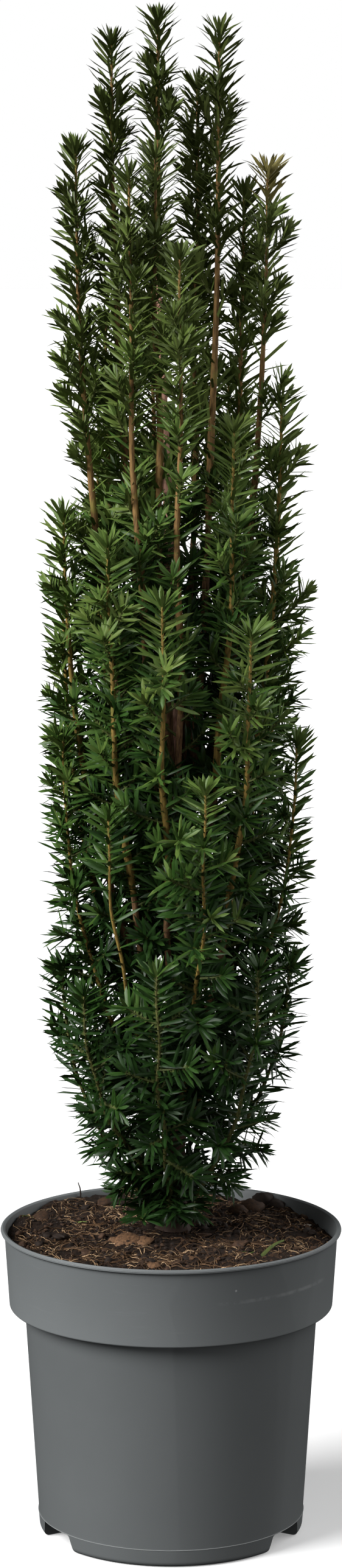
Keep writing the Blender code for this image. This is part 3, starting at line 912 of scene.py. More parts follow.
class Scrap(Enum):
    """Kinds of loose bits in the potting soil, each with its finish."""

    STRAW = StrawFinish("straw_fibre", (0.158, 0.084, 0.037), (0.034, 0.017, 0.008))
    PALE = StrawFinish("pale_fibre", (0.600, 0.410, 0.240), (0.190, 0.110, 0.052))
    COIR = StrawFinish("rusty_coir", (0.056, 0.027, 0.012), (0.016, 0.008, 0.004), 500.0)
    CHUNK = StrawFinish("coir_chunk", (0.190, 0.100, 0.048), (0.045, 0.022, 0.011), 620.0)
    PEAT = StrawFinish("peat_crumb", (0.022, 0.012, 0.007), (0.008, 0.0045, 0.003), 500.0)
    BARK = StrawFinish("bark_chip", (0.080, 0.042, 0.023), (0.028, 0.014, 0.008), 400.0)
    GREEN = StrawFinish("green_scrap", (0.180, 0.220, 0.050), (0.085, 0.130, 0.030), 300.0)
    WHITE = StrawFinish("white_scrap", (0.700, 0.680, 0.600), (0.450, 0.430, 0.360), 300.0)

    @staticmethod
    def finishes(kinds: Iterable["Scrap"]) -> list[bpy.types.Material]:
        """Return the materials of some kinds, in their order."""
        return [kind.value.material() for kind in kinds]


@dataclass
class Soil:
    """Potting soil: an uneven plug, with crumbs, chips, coir, straw and roots lying in its top.

    A cloud is noise, given as its layer and the size of its features. A green stalk is its place and
    length, and a chunk its place, size, flatness and kind.
    """

    pot: Pot
    at_wall: float = 0.2205
    crown: float = 0.0010
    bump: float = 0.0035
    bump_size: float = 0.030
    bump_layer: float = 3.7
    level: float = 0.024
    level_edge: float = 0.030
    trunk_foot: Pair = (0.002, 0.012)
    rings: int = 96
    sides: int = 288
    ring_closing: float = 0.8
    shoulder: float = 0.008
    sharp_above: float = 80.0
    clod: float = 0.0030
    clod_level: float = 0.45
    clod_cloud: Pair = (0.7, 0.011)
    lump_share: float = 0.6
    lump_cloud: Pair = (1.9, 0.0052)
    grit: float = 0.0010
    grit_cloud: Pair = (4.1, 0.0021)
    straws: int = 3600
    straw_cloud: Pair = (2.2, 0.017)
    straw_bounds: Pair = (-0.25, 0.20)
    straw_radii: Pair = (0.00014, 0.00042)
    short_straw: Pair = (0.005, 0.015)
    long_straw: Pair = (0.015, 0.030)
    short_share: float = 0.82
    crumbs: int = 1300
    fine_crumb: Pair = (0.0006, 0.0020)
    coarse_crumb: Pair = (0.0020, 0.0034)
    fine_share: float = 0.95
    crumb_flatness: Pair = (0.45, 0.9)
    crumb_tilt: Pair = (0.0, 0.7)
    lump_sharp: float = 55.0
    long_strand: float = 0.014
    strand_lift: Pair = (0.0002, 0.0016)
    roots: int = 60
    root_lengths: Pair = (0.018, 0.040)
    root_radii: Pair = (0.0004, 0.0008)
    bank_reach: float = 0.1185
    shrunk: float = 0.0055
    shrunk_side: float = math.radians(15.0)
    heaped: float = 0.0032
    heaped_side: float = math.radians(118.0)
    edge_zone: float = 0.016
    blade_foot: Pair = (0.065, -0.070)
    blade_tip: tuple[float, float, float] = (0.082, -0.036, 0.2255)
    blade_bow: float = 0.002
    blade_steps: int = 5
    blade_halves: Pair = (0.0016, 0.00035)

    ROOT_STUB = (
        (-0.0690, 0.095, 0.2210), (-0.0685, 0.097, 0.2260),
        (-0.0690, 0.098, 0.2305), (-0.0705, 0.099, 0.2345),
    )
    GREEN_STALKS = ((-0.100, 0.045, 0.016), (-0.072, 0.036, 0.010), (0.060, -0.050, 0.012))
    CHUNKS = (
        (-0.097, 0.046, 0.0075, 0.35, Scrap.COIR), (-0.032, -0.028, 0.0105, 0.42, Scrap.CHUNK),
        (-0.021, -0.030, 0.0080, 0.40, Scrap.CHUNK), (-0.041, -0.023, 0.0060, 0.50, Scrap.CHUNK),
        (0.024, -0.008, 0.0060, 0.30, Scrap.BARK), (0.050, -0.034, 0.0055, 0.30, Scrap.BARK),
        (0.070, 0.093, 0.0085, 0.85, Scrap.PEAT), (0.080, 0.082, 0.0065, 0.65, Scrap.PEAT),
        (0.101, 0.039, 0.0032, 0.35, Scrap.WHITE), (0.060, 0.070, 0.0100, 0.60, Scrap.COIR),
        (0.050, 0.062, 0.0070, 0.70, Scrap.COIR), (-0.060, -0.055, 0.0050, 0.40, Scrap.BARK),
        (0.004, -0.083, 0.0045, 0.45, Scrap.COIR), (0.012, -0.070, 0.0040, 0.45, Scrap.CHUNK),
        (0.074, -0.060, 0.0048, 0.35, Scrap.COIR), (-0.080, -0.020, 0.0062, 0.45, Scrap.PEAT),
        (-0.050, 0.085, 0.0060, 0.50, Scrap.COIR), (-0.012, -0.094, 0.0044, 0.45, Scrap.CHUNK),
    )

    def base(self, x: float, y: float) -> float:
        """Find the height of the plain top, as the solid has it.

        Args:
            x: Place across.
            y: Place front to back.

        Returns:
            The height there.
        """
        from_axis = math.hypot(x, y)
        from_trunk = math.hypot(x - self.trunk_foot[0], y - self.trunk_foot[1])
        level = self.at_wall + self.crown * max(0.0, 1.0 - (from_axis / self.pot.body_top_radius) ** 2)
        away = clamped((from_trunk - self.level) / self.level_edge)
        place = Vector((x / self.bump_size, y / self.bump_size, self.bump_layer))
        return level + self.bump * away * noise.noise(place)

    def edge(self, x: float, y: float) -> float:
        """Find how far the top is sunk by the wall at the right, or heaped up by it at the back.

        Args:
            x: Place across.
            y: Place front to back.

        Returns:
            How much higher the top is there.
        """
        near = clamped((math.hypot(x, y) - self.bank_reach + self.edge_zone) / self.edge_zone)
        turn = math.atan2(y, x)
        sunk = max(0.0, math.cos(turn - self.shrunk_side)) ** 4
        heap = max(0.0, math.cos(turn - self.heaped_side)) ** 2
        return near * (self.heaped * heap - self.shrunk * sunk)

    def surface(self, x: float, y: float) -> float:
        """Find the height of the top with its clods and grit.

        Args:
            x: Place across.
            y: Place front to back.

        Returns:
            The height there.
        """
        lumps = abs(cloud(x, y, *self.clod_cloud)) + self.lump_share * abs(cloud(x, y, *self.lump_cloud))
        rough = self.clod * (lumps - self.clod_level) + self.grit * cloud(x, y, *self.grit_cloud)
        return self.base(x, y) + self.edge(x, y) + rough

    def wall_radius(self, height: float) -> float:
        """Find the plug's radius, just clear of the pot.

        Args:
            height: Where on the plug.

        Returns:
            The radius there.
        """
        inside = self.pot.inside()
        for (low_r, low_z), (high_r, high_z) in zip(inside, inside[1:]):
            if height <= high_z:
                share = max(0.0, (height - low_z) / (high_z - low_z))
                return low_r + (high_r - low_r) * share - 2 * GAP
        return inside[-1][0] - 2 * GAP

    def build_plug(self) -> bpy.types.Object:
        """Make the plug, whose top is a fine net and whose sides follow the pot.

        Returns:
            The plug.
        """
        reach = self.wall_radius(self.at_wall)
        turns = [math.tau * side / self.sides for side in range(self.sides)]
        points = []
        for ring in range(1, self.rings + 1):
            across = reach * (ring / self.rings) ** self.ring_closing
            for turn in turns:
                x, y = across * math.cos(turn), across * math.sin(turn)
                points.append((x, y, self.surface(x, y)))
        shoulder = self.at_wall - self.shoulder
        corners = [(across - GAP, height + GAP) for across, height in reversed(self.pot.inside()[:-1])]
        corners.insert(0, (self.wall_radius(shoulder), shoulder))
        for across, height in corners:
            across -= GAP
            points += [(across * math.cos(turn), across * math.sin(turn), height) for turn in turns]
        points += [(0.0, 0.0, self.surface(0.0, 0.0)), (0.0, 0.0, corners[-1][1])]
        faces = shell(self.rings + len(corners), self.sides)
        mesh = mesh_of("peat", np.array(points), faces, sharp=self.sharp_above)
        return place_piece(add_object("peat", mesh, (PeatFinish().material(),)), ("soil",))

    @staticmethod
    def spot(rng: random.Random, reach: float) -> Pair:
        """Pick a random place on the top.

        Args:
            rng: Source of chance.
            reach: How far from the axis it may be.

        Returns:
            The place.
        """
        across = reach * math.sqrt(rng.random())
        turn = rng.uniform(0.0, math.tau)
        return across * math.cos(turn), across * math.sin(turn)

    def strand(self, rng: random.Random, place: Pair, length: float, radius: float, curl: float) -> Arrays:
        """Make a thin strand that lies on the soil and curls as it goes.

        Args:
            rng: Source of chance.
            place: Where it starts.
            length: Its length.
            radius: Its radius at its start.
            curl: The most that it turns at each step.

        Returns:
            Its points and triangles.
        """
        x, y = place
        steps = 4 if length < self.long_strand else 9
        farthest = self.bank_reach - 0.001
        heading = rng.uniform(0.0, math.tau)
        lift = rng.uniform(*self.strand_lift)
        points = []
        for step in range(steps + 1):
            across = math.hypot(x, y)
            if across > farthest:
                x, y = x * farthest / across, y * farthest / across
            rise = lift * math.sin(math.pi * step / steps)
            points.append(Vector((x, y, self.surface(x, y) + radius * 0.6 + rise)))
            heading += rng.uniform(-curl, curl)
            x += math.cos(heading) * length / steps
            y += math.sin(heading) * length / steps
        radii = radius * np.linspace(1.0, 0.45, steps + 1)
        return tube(points, radii, 3)

    def lump(self, rng: random.Random, place: Pair, size: float, flat: float, tilt: float) -> Arrays:
        """Make a rough lump that lies half sunk in the soil.

        Args:
            rng: Source of chance.
            place: Where it lies.
            size: Its reach from its middle.
            flat: Its height as a share of its width.
            tilt: How far it leans.

        Returns:
            Its points and triangles.
        """
        x, y = place
        rings, sides = (4, 6) if size < 0.003 else (8, 11)
        layer = rng.uniform(0.0, 50.0)
        points = []
        for ring in range(1, rings):
            lift = math.pi * ring / rings
            for side in range(sides):
                turn = math.tau * side / sides
                out = (math.sin(lift) * math.cos(turn), math.sin(lift) * math.sin(turn), math.cos(lift))
                rough = 1.0 + 0.45 * cloud(out[0], out[1], out[2] + layer, 0.8)
                points.append([size * rough * part for part in out])
        points += [[0.0, 0.0, size], [0.0, 0.0, -size]]
        shape = np.array(points)
        shape[:, 2] *= flat
        lean = Quaternion((math.cos(layer), math.sin(layer), 0.0), tilt)
        turn = lean @ Quaternion((0.0, 0.0, 1.0), layer)
        shape = shape @ np.array(turn.to_matrix()).T
        shape += np.array([x, y, self.surface(x, y) + size * flat * 0.35])
        return shape, shell(rings - 1, sides)

    def build_straw(self) -> bpy.types.Object:
        """Scatter fine strands of straw and coir over the top, in patches.

        Returns:
            The strands.
        """
        rng = random.Random(f"{SEED} straw")
        kinds = (Scrap.STRAW, Scrap.PALE, Scrap.COIR)
        bank = Bank()
        for _ in range(self.straws):
            place = self.spot(rng, self.bank_reach - 0.004)
            if cloud(*place, *self.straw_cloud) < rng.uniform(*self.straw_bounds):
                continue
            kind = rng.choices(range(len(kinds)), (5, 3, 4))[0]
            lengths = self.short_straw if rng.random() < self.short_share else self.long_straw
            length, radius = rng.uniform(*lengths), rng.uniform(*self.straw_radii)
            bank.add(self.strand(rng, place, length, radius, 0.35), kind)
        return place_piece(bank.build("straw", Scrap.finishes(kinds)))

    def build_crumbs(self) -> bpy.types.Object:
        """Scatter crumbs of peat, coir and bark over the top.

        Returns:
            The crumbs.
        """
        rng = random.Random(f"{SEED} crumbs")
        kinds = (Scrap.PEAT, Scrap.COIR, Scrap.BARK)
        bank = Bank()
        for _ in range(self.crumbs):
            place = self.spot(rng, self.bank_reach - 0.003)
            kind = rng.choices(range(len(kinds)), (6, 3, 2))[0]
            sizes = self.fine_crumb if rng.random() < self.fine_share else self.coarse_crumb
            size = rng.uniform(*sizes)
            flat, tilt = rng.uniform(*self.crumb_flatness), rng.uniform(*self.crumb_tilt)
            bank.add(self.lump(rng, place, size, flat, tilt), kind)
        return place_piece(bank.build("crumbs", Scrap.finishes(kinds), self.lump_sharp))

    def build_scraps(self) -> bpy.types.Object:
        """Lay the larger scraps in view: coir chunks, chips, stalks, a blade, roots and a clod.

        Returns:
            The scraps.
        """
        rng = random.Random(f"{SEED} scraps")
        kinds = (Scrap.COIR, Scrap.BARK, Scrap.GREEN, Scrap.WHITE, Scrap.STRAW, Scrap.PEAT, Scrap.CHUNK)
        bank = Bank()
        for x, y, size, flat, kind in self.CHUNKS:
            bank.add(self.lump(rng, (x, y), size, flat, 0.25), kinds.index(kind))
        for x, y, length in self.GREEN_STALKS:
            bank.add(self.strand(rng, (x, y), length, 0.0007, 0.10), kinds.index(Scrap.GREEN))
        for _ in range(self.roots):
            place = self.spot(rng, self.bank_reach - 0.02)
            length, radius = rng.uniform(*self.root_lengths), rng.uniform(*self.root_radii)
            bank.add(self.strand(rng, place, length, radius, 0.85), kinds.index(Scrap.STRAW))
        bank.add(self.blade(), kinds.index(Scrap.GREEN))
        stub = [Vector(place) for place in self.ROOT_STUB]
        bank.add(tube(stub, np.linspace(0.0008, 0.0004, len(stub)), 5), kinds.index(Scrap.PEAT))
        return place_piece(bank.build("scraps", Scrap.finishes(kinds), self.lump_sharp))

    def blade(self) -> Arrays:
        """Make the dry green blade that leans out of the soil at the right front.

        Returns:
            Its points and triangles.
        """
        foot = Vector((*self.blade_foot, self.surface(*self.blade_foot)))
        tip = Vector(self.blade_tip)
        shares = [step / self.blade_steps for step in range(self.blade_steps + 1)]
        bow = [Vector((0.0, 0.0, self.blade_bow * math.sin(math.pi * share))) for share in shares]
        points = [foot.lerp(tip, share) + lift for share, lift in zip(shares, bow)]
        taper = np.linspace(1.0, 0.35, len(points))
        return tube(points, np.array([self.blade_halves * 2]) * taper[:, None], 4)


# Limbs


@dataclass(frozen=True)
class Limb:
    """A limb of the plant: a bough with its mass of foliage, or a shoot straight off the trunk.

    foot is its height on the trunk, leafy the height where its needles start, x, y and tip the end
    of its stem, and spread the reach of its side shoots. Between the heights in bare it has shed most
    of its needles.
    """

    name: str
    foot: float
    leafy: float
    x: float
    y: float
    tip: float
    spread: float
    bare: Pair = (0.0, 0.0)


BOUGHS = (
    Limb("left_crest", 0.540, 0.760, -0.042, 0.012, 1.079, 0.017),
    Limb("right_crest", 0.528, 0.740, 0.034, 0.014, 1.087, 0.018, (0.790, 0.930)),
    Limb("left_outer", 0.472, 0.670, -0.067, -0.005, 1.004, 0.020, (0.728, 0.782)),
    Limb("right_outer", 0.484, 0.680, 0.068, -0.005, 0.990, 0.020, (0.790, 0.868)),
    Limb("front_crest", 0.555, 0.760, -0.011, -0.038, 1.000, 0.016, (0.760, 0.838)),
    Limb("back_crest", 0.512, 0.730, 0.019, 0.045, 1.050, 0.020),
    Limb("front_left", 0.458, 0.650, -0.029, -0.046, 0.986, 0.018, (0.745, 0.812)),
    Limb("back_right", 0.446, 0.640, 0.052, 0.038, 0.974, 0.012, (0.717, 0.800)),
    Limb("front_middle", 0.430, 0.610, 0.006, -0.058, 0.930, 0.018, (0.668, 0.790)),
    Limb("back_left", 0.438, 0.590, -0.047, 0.042, 0.885, 0.022),
    Limb("right_shoulder", 0.395, 0.550, 0.078, -0.018, 0.829, 0.020),
    Limb("left_shoulder", 0.372, 0.520, -0.076, -0.018, 0.748, 0.022, (0.618, 0.664)),
    Limb("front_left_shoulder", 0.346, 0.480, -0.044, -0.063, 0.730, 0.022),
    Limb("front_right_shoulder", 0.412, 0.550, 0.044, -0.050, 0.810, 0.020, (0.572, 0.645)),
    Limb("front_shoulder", 0.365, 0.480, -0.006, -0.079, 0.690, 0.022),
    Limb("right_front_shoulder", 0.335, 0.450, 0.056, -0.066, 0.668, 0.022),
    Limb("rear_crest", 0.425, 0.560, -0.014, 0.078, 0.925, 0.024),
    Limb("rear_right", 0.384, 0.510, 0.042, 0.074, 0.840, 0.024),
    Limb("rear_left", 0.360, 0.500, -0.054, 0.068, 0.790, 0.024),
    Limb("left_rear_shoulder", 0.325, 0.440, -0.078, 0.024, 0.690, 0.022),
    Limb("right_rear_shoulder", 0.350, 0.460, 0.076, 0.026, 0.680, 0.022),
)
TRUNK_SHOOTS = (
    Limb("middle_right", 0.310, 0.330, 0.090, -0.014, 0.585, 0.030),
    Limb("middle_left", 0.302, 0.330, -0.077, -0.030, 0.590, 0.030),
    Limb("middle_front", 0.305, 0.320, 0.024, -0.090, 0.560, 0.032),
    Limb("middle_front_left", 0.318, 0.340, -0.044, -0.080, 0.540, 0.030, (0.365, 0.500)),
    Limb("middle_rear_left", 0.312, 0.330, -0.026, 0.090, 0.600, 0.032),
    Limb("middle_rear_right", 0.300, 0.320, 0.062, 0.068, 0.560, 0.032),
    Limb("low_front", 0.246, 0.248, -0.010, -0.088, 0.430, 0.036),
    Limb("low_front_right", 0.238, 0.240, 0.062, -0.064, 0.430, 0.036),
    Limb("low_right", 0.250, 0.252, 0.086, 0.016, 0.420, 0.036),
    Limb("low_rear", 0.242, 0.244, 0.018, 0.090, 0.430, 0.036),
    Limb("low_rear_left", 0.248, 0.250, -0.060, 0.064, 0.430, 0.036),
    Limb("low_left", 0.236, 0.238, -0.078, -0.012, 0.420, 0.036),
    Limb("low_front_left", 0.254, 0.256, -0.062, -0.060, 0.410, 0.034),
)
CREST = Limb("crest", 0.930, 0.930, -0.009, 0.004, 1.094, 0.018)
LIMBS = (CREST, *BOUGHS, *TRUNK_SHOOTS)


@dataclass
class Skeleton:
    """The lines of trunk and limbs, by the rule of the solids."""

    soil: Soil
    trunk_top: Vector = field(default_factory=lambda: Vector((-0.010, 0.005)))
    trunk_tip: float = 0.930
    low_radius: float = 0.0076
    tip_radius: float = 0.0019
    sway: Vector = field(default_factory=lambda: Vector((0.007, -0.003)))
    flare: float = 0.0052
    flare_height: float = 0.011
    upright: float = 2.2
    collar: float = 0.0045
    bough_radius: float = 0.0021
    bough_swell: float = 0.0040
    waver: float = 0.0018
    waves: float = 2.5
    wave_phase: float = 90.0

    @property
    def cut(self) -> float:
        """The height of the trunk's flat cut on the soil."""
        return self.soil.at_wall + self.soil.crown + GAP

    @property
    def trunk_foot(self) -> Vector:
        """The middle of the trunk's foot on the soil."""
        return Vector(self.soil.trunk_foot)

    def trunk_centre(self, height: float) -> Vector:
        """Find the trunk's middle.

        Args:
            height: Where on the trunk.

        Returns:
            The middle there.
        """
        share = (height - self.cut) / (self.trunk_tip - self.cut)
        flat = self.trunk_foot.lerp(self.trunk_top, share) + self.sway * math.sin(math.pi * share)
        return Vector((flat.x, flat.y, height))

    def trunk_radius(self, height: float) -> float:
        """Find the trunk's radius, with its root flare.

        Args:
            height: Where on the trunk.

        Returns:
            The radius there.
        """
        above = height - self.cut
        share = above / (self.trunk_tip - self.cut)
        taper = self.low_radius + (self.tip_radius - self.low_radius) * share
        return taper + self.flare * math.exp(-above / self.flare_height)

    def foot_reach(self, limb: Limb) -> float:
        """Return how far from the trunk's middle a limb starts."""
        return self.trunk_radius(limb.foot - self.bough_radius) + GAP

    def limb_point(self, limb: Limb, share: float) -> Vector:
        """Find a limb's middle.

        Args:
            limb: The limb.
            share: How far up its rise, from 0 to 1.

        Returns:
            The middle there.
        """
        start = self.trunk_centre(limb.foot)
        out = Vector((limb.x - start.x, limb.y - start.y))
        bearing = out.normalized()
        collar = self.foot_reach(limb) + self.collar
        beyond = (out.length - collar) * (1.0 - max(0.0, 1.0 - share) ** self.upright)
        phase = (limb.foot + limb.x) * self.wave_phase
        waver = self.waver * math.sin(math.pi * share) * math.sin(self.waves * math.tau * share + phase)
        across = Vector((-bearing.y, bearing.x))
        flat = start.xy + bearing * (collar + beyond) + across * waver
        return Vector((flat.x, flat.y, limb.foot + (limb.tip - limb.foot) * share))

    def limb_path(self, limb: Limb, low: float, high: float, step: float) -> list[Vector]:
        """Draw a limb's line, from the trunk's side where it starts there.

        Args:
            limb: The limb.
            low: Height of its first point.
            high: Height of its last point.
            step: About how far apart its points are in height.

        Returns:
            Its points.
        """
        rise = limb.tip - limb.foot
        first, last = (low - limb.foot) / rise, (high - limb.foot) / rise
        steps = max(3, round((high - low) / step))
        points = [self.limb_point(limb, first + (last - first) * i / steps) for i in range(steps + 1)]
        if low <= limb.foot:
            start = self.trunk_centre(limb.foot)
            bearing = Vector((limb.x - start.x, limb.y - start.y, 0.0)).normalized()
            points.insert(0, start + bearing * self.foot_reach(limb))
        return points

    def stem_path(self, limb: Limb, step: float) -> list[Vector]:
        """Draw the stem of a limb's foliage.

        Args:
            limb: The limb.
            step: About how far apart its points are.

        Returns:
            Its points.
        """
        if limb is CREST:
            start = self.trunk_centre(self.trunk_tip)
            tip = Vector((limb.x, limb.y, limb.tip))
            steps = round((tip - start).length / step)
            return [start.lerp(tip, i / steps) for i in range(steps + 1)]
        low = limb.leafy if limb in BOUGHS else limb.foot
        return self.limb_path(limb, low, limb.tip, step)

    def trunk_line(self, step: float) -> list[Vector]:
        """Draw the trunk's middle line.

        Args:
            step: About how far apart its points are in height.

        Returns:
            Its points, from the cut to the tip.
        """
        rise = self.trunk_tip - self.cut
        steps = round(rise / step)
        return [self.trunk_centre(self.cut + rise * i / steps) for i in range(steps + 1)]


@dataclass(frozen=True)
class Rib:
    """Bark relief: how many ribs, how deep, how flaky, how they wind, and their layer of noise.

    The other values lay out the noise that furrows and flakes are cut by.
    """

    count: float
    depth: float
    flake: float
    twist: float = 6.0
    layer: float = 0.0
    reach: float = 0.004
    stretch: float = 0.14
    furrow_size: float = 0.0022
    furrow_level: float = 0.28
    flake_size: float = 0.006

    def carved(self, points: Sequence[Vector], radii: Sequence[float], sides: int) -> np.ndarray:
        """Give a limb its ribs and flakes.

        Args:
            points: The limb's line.
            radii: Its plain radius at each point.
            sides: Points round it.

        Returns:
            A radius for each point and side.
        """
        rows = []
        for place, radius in zip(points, radii):
            row = []
            for side in range(sides):
                turn = math.tau * side / sides + place.z * self.twist
                x, y = math.cos(turn) * self.reach, math.sin(turn) * self.reach
                along = place.z * self.stretch + self.layer
                furrow = abs(cloud(x * self.count, y * self.count, along, self.furrow_size))
                flake = cloud(x, y, place.z + self.layer, self.flake_size)
                row.append(radius * (1.0 + self.depth * (furrow - self.furrow_level) + self.flake * flake))
            rows.append(row)
        return np.array(rows)


class Bark(Enum):
    """Barks and skins of the wood: ridges, furrows, fresh skin and how much of it."""

    # painted light: the trunk's colours are lighter than bark is, so the trunk in the crown's deep shade
    # looks lit
    TRUNK = BarkFinish(
        "red_brown_bark", (0.840, 0.480, 0.350), (0.330, 0.155, 0.105), (0.560, 0.420, 0.260), 0.14,
        darkening_heights=(0.25, 0.46),
    )
    BOUGH = BarkFinish(
        "bough_bark", (0.300, 0.168, 0.074), (0.092, 0.044, 0.022), (0.220, 0.200, 0.060), 0.34
    )
    BROWN = BarkFinish(
        "shoot_bark", (0.310, 0.180, 0.058), (0.110, 0.056, 0.020), (0.250, 0.225, 0.044), 0.42
    )
    OLIVE = BarkFinish(
        "olive_bark", (0.330, 0.215, 0.046), (0.140, 0.090, 0.022), (0.200, 0.190, 0.036), 0.36
    )
    GREEN = BarkFinish(
        "green_bark", (0.130, 0.130, 0.034), (0.060, 0.058, 0.018), (0.130, 0.072, 0.032), 0.22
    )
    TWIG = BarkFinish(
        "twig_skin", (0.085, 0.105, 0.025), (0.042, 0.052, 0.014), (0.100, 0.062, 0.028), 0.24
    )

    def join(self, name: str, bank: Bank) -> bpy.types.Object:
        """Join a bank of limbs into one piece with this bark."""
        return bank.build(name, (self.value.material(),), sharp=60.0)


@dataclass
class Timber:
    """Trunk and boughs, in bark with real relief."""

    skeleton: Skeleton
    bough_sides: int = 12
    trunk_sides: int = 26
    trunk_step: float = 0.0016
    bough_step: float = 0.0035
    trunk_rib: Rib = Rib(1.3, 0.30, 0.10)
    bough_rib: Rib = Rib(1.6, 0.34, 0.05, 9.0)
    rib_layers: float = 3.1

    def build_trunk(self) -> bpy.types.Object:
        """Make the trunk, from its flat cut on the soil to its tip.

        Returns:
            The trunk.
        """
        line = self.skeleton.trunk_line(self.trunk_step)
        radii = [self.skeleton.trunk_radius(point.z) for point in line]
        bank = Bank()
        bank.add(tube(line, self.trunk_rib.carved(line, radii, self.trunk_sides), self.trunk_sides))
        return place_piece(Bark.TRUNK.join("trunk_bark", bank), ("trunk",))

    def build_boughs(self) -> bpy.types.Object:
        """Make every bough, from the trunk to where it enters its foliage.

        Returns:
            The boughs.
        """
        bank = Bank()
        shape = self.skeleton
        for index, limb in enumerate(BOUGHS):
            line = shape.limb_path(limb, limb.foot, limb.leafy, self.bough_step)
            swell = shape.bough_swell * (limb.tip - limb.foot)
            radii = [shape.bough_radius + swell * (1.0 - i / (len(line) - 1)) for i in range(len(line))]
            rib = replace(self.bough_rib, layer=index * self.rib_layers)
            bank.add(tube(line, rib.carved(line, radii, self.bough_sides), self.bough_sides))
        nodes = [f"bough_{limb.name}" for limb in BOUGHS]
        return place_piece(Bark.BOUGH.join("bough_bark", bank), nodes)


# Foliage


class Tone(Enum):
    """Colours of the sprays: name, upper side, underside, and the height they belong to."""

    NIGHT = ("night_green", (0.016, 0.044, 0.009), (0.042, 0.076, 0.018), 0.28)
    BOTTLE = ("bottle_green", (0.029, 0.074, 0.013), (0.062, 0.107, 0.026), 0.38)
    FOREST = ("forest_green", (0.056, 0.114, 0.021), (0.094, 0.150, 0.036), 0.50)
    LEAF = ("leaf_green", (0.108, 0.176, 0.036), (0.152, 0.214, 0.056), 0.62)
    MOSS = ("moss_green", (0.134, 0.194, 0.041), (0.172, 0.230, 0.060), 0.74)
    OLIVE = ("olive_green", (0.104, 0.148, 0.032), (0.132, 0.174, 0.048), 0.88)
    SAGE = ("sage_green", (0.076, 0.106, 0.023), (0.102, 0.130, 0.034), 1.04)
    BRONZE = ("bronze_green", (0.175, 0.150, 0.040), (0.215, 0.185, 0.060), math.inf)

    def materials(self) -> list[bpy.types.Material]:
        """Make the materials, glossier where the tone is dark.

        Returns:
            Those of upper side, underside and stalk.
        """
        name, upper, under, _ = self.value
        roughness = 0.32 if self in (Tone.NIGHT, Tone.BOTTLE, Tone.FOREST) else 0.38
        stalk = tuple(0.8 * part + 0.2 * pale for part, pale in zip(under, (0.20, 0.20, 0.045)))
        return [
            NeedleFinish(name, upper, roughness).material(),
            NeedleFinish(f"{name}_under", under, 0.42).material(),
            NeedleFinish(f"{name}_stalk", stalk, 0.40).material(),
        ]


@dataclass
class NeedleBank:
    """Needles of one tone: a ridged blade on a thin stalk, flat below and pointed.

    A station is a share of the length, and the blade's share of its full width there.
    """

    rows: list[tuple[float, ...]] = field(default_factory=list)

    STATIONS = ((0.0, 0.34), (0.11, 0.88), (0.74, 0.94))
    RIDGE = 0.00042
    SHARP = 35.0

    def add(self, root: Vector, heading: Vector, upward: Vector, size: Pair, bend: Pair) -> None:
        """Add a needle. size is its length and half width, bend its tip's lean down and sideways."""
        self.rows.append((*root, *heading, *upward, *size, *bend))

    def arrays(self) -> tuple[np.ndarray, np.ndarray, np.ndarray]:
        """Shape every needle.

        Returns:
            The points, the triangles and the triangles' kinds.
        """
        data = np.array(self.rows)
        root, ahead, upward = data[:, 0:3], data[:, 3:6], data[:, 6:9]
        length, half, drop, lean = (data[:, 9 + i : 10 + i] for i in range(4))
        side = np.cross(ahead, upward)
        side /= np.linalg.norm(side, axis=1)[:, None]
        upward = np.cross(side, ahead)
        rows = []
        for share, width in self.STATIONS:
            curve = (side * lean - upward * drop) * length * share**2
            centre = root + ahead * length * share + curve
            ridge = upward * self.RIDGE * (0.5 + 0.5 * width)
            rows += [centre - side * half * width, centre + ridge, centre + side * half * width]
        rows.append(root + ahead * length + (side * lean - upward * drop) * length)
        points = np.stack(rows, axis=1)
        stations = len(self.STATIONS)
        faces, kinds = [(0, 2, 1)], [2]
        for station in range(stations - 1):
            left, top, right = 3 * station, 3 * station + 1, 3 * station + 2
            faces += [(left, top + 3, left + 3), (left, top, top + 3)]
            faces += [(top, right + 3, top + 3), (top, right, right + 3)]
            faces += [(right, left, left + 3), (right, left + 3, right + 3)]
            kinds += [0, 0, 0, 0, 1, 1] if station else [2] * 6
        last = 3 * (stations - 1)
        tip = 3 * stations
        faces += [(last, last + 1, tip), (last + 1, last + 2, tip), (last + 2, last, tip)]
        kinds += [0, 0, 1]
        count = len(data)
        stride = tip + 1
        all_faces = np.array(faces)[None] + (np.arange(count) * stride)[:, None, None]
        return points.reshape(-1, 3), all_faces.reshape(-1, 3), np.tile(kinds, count)


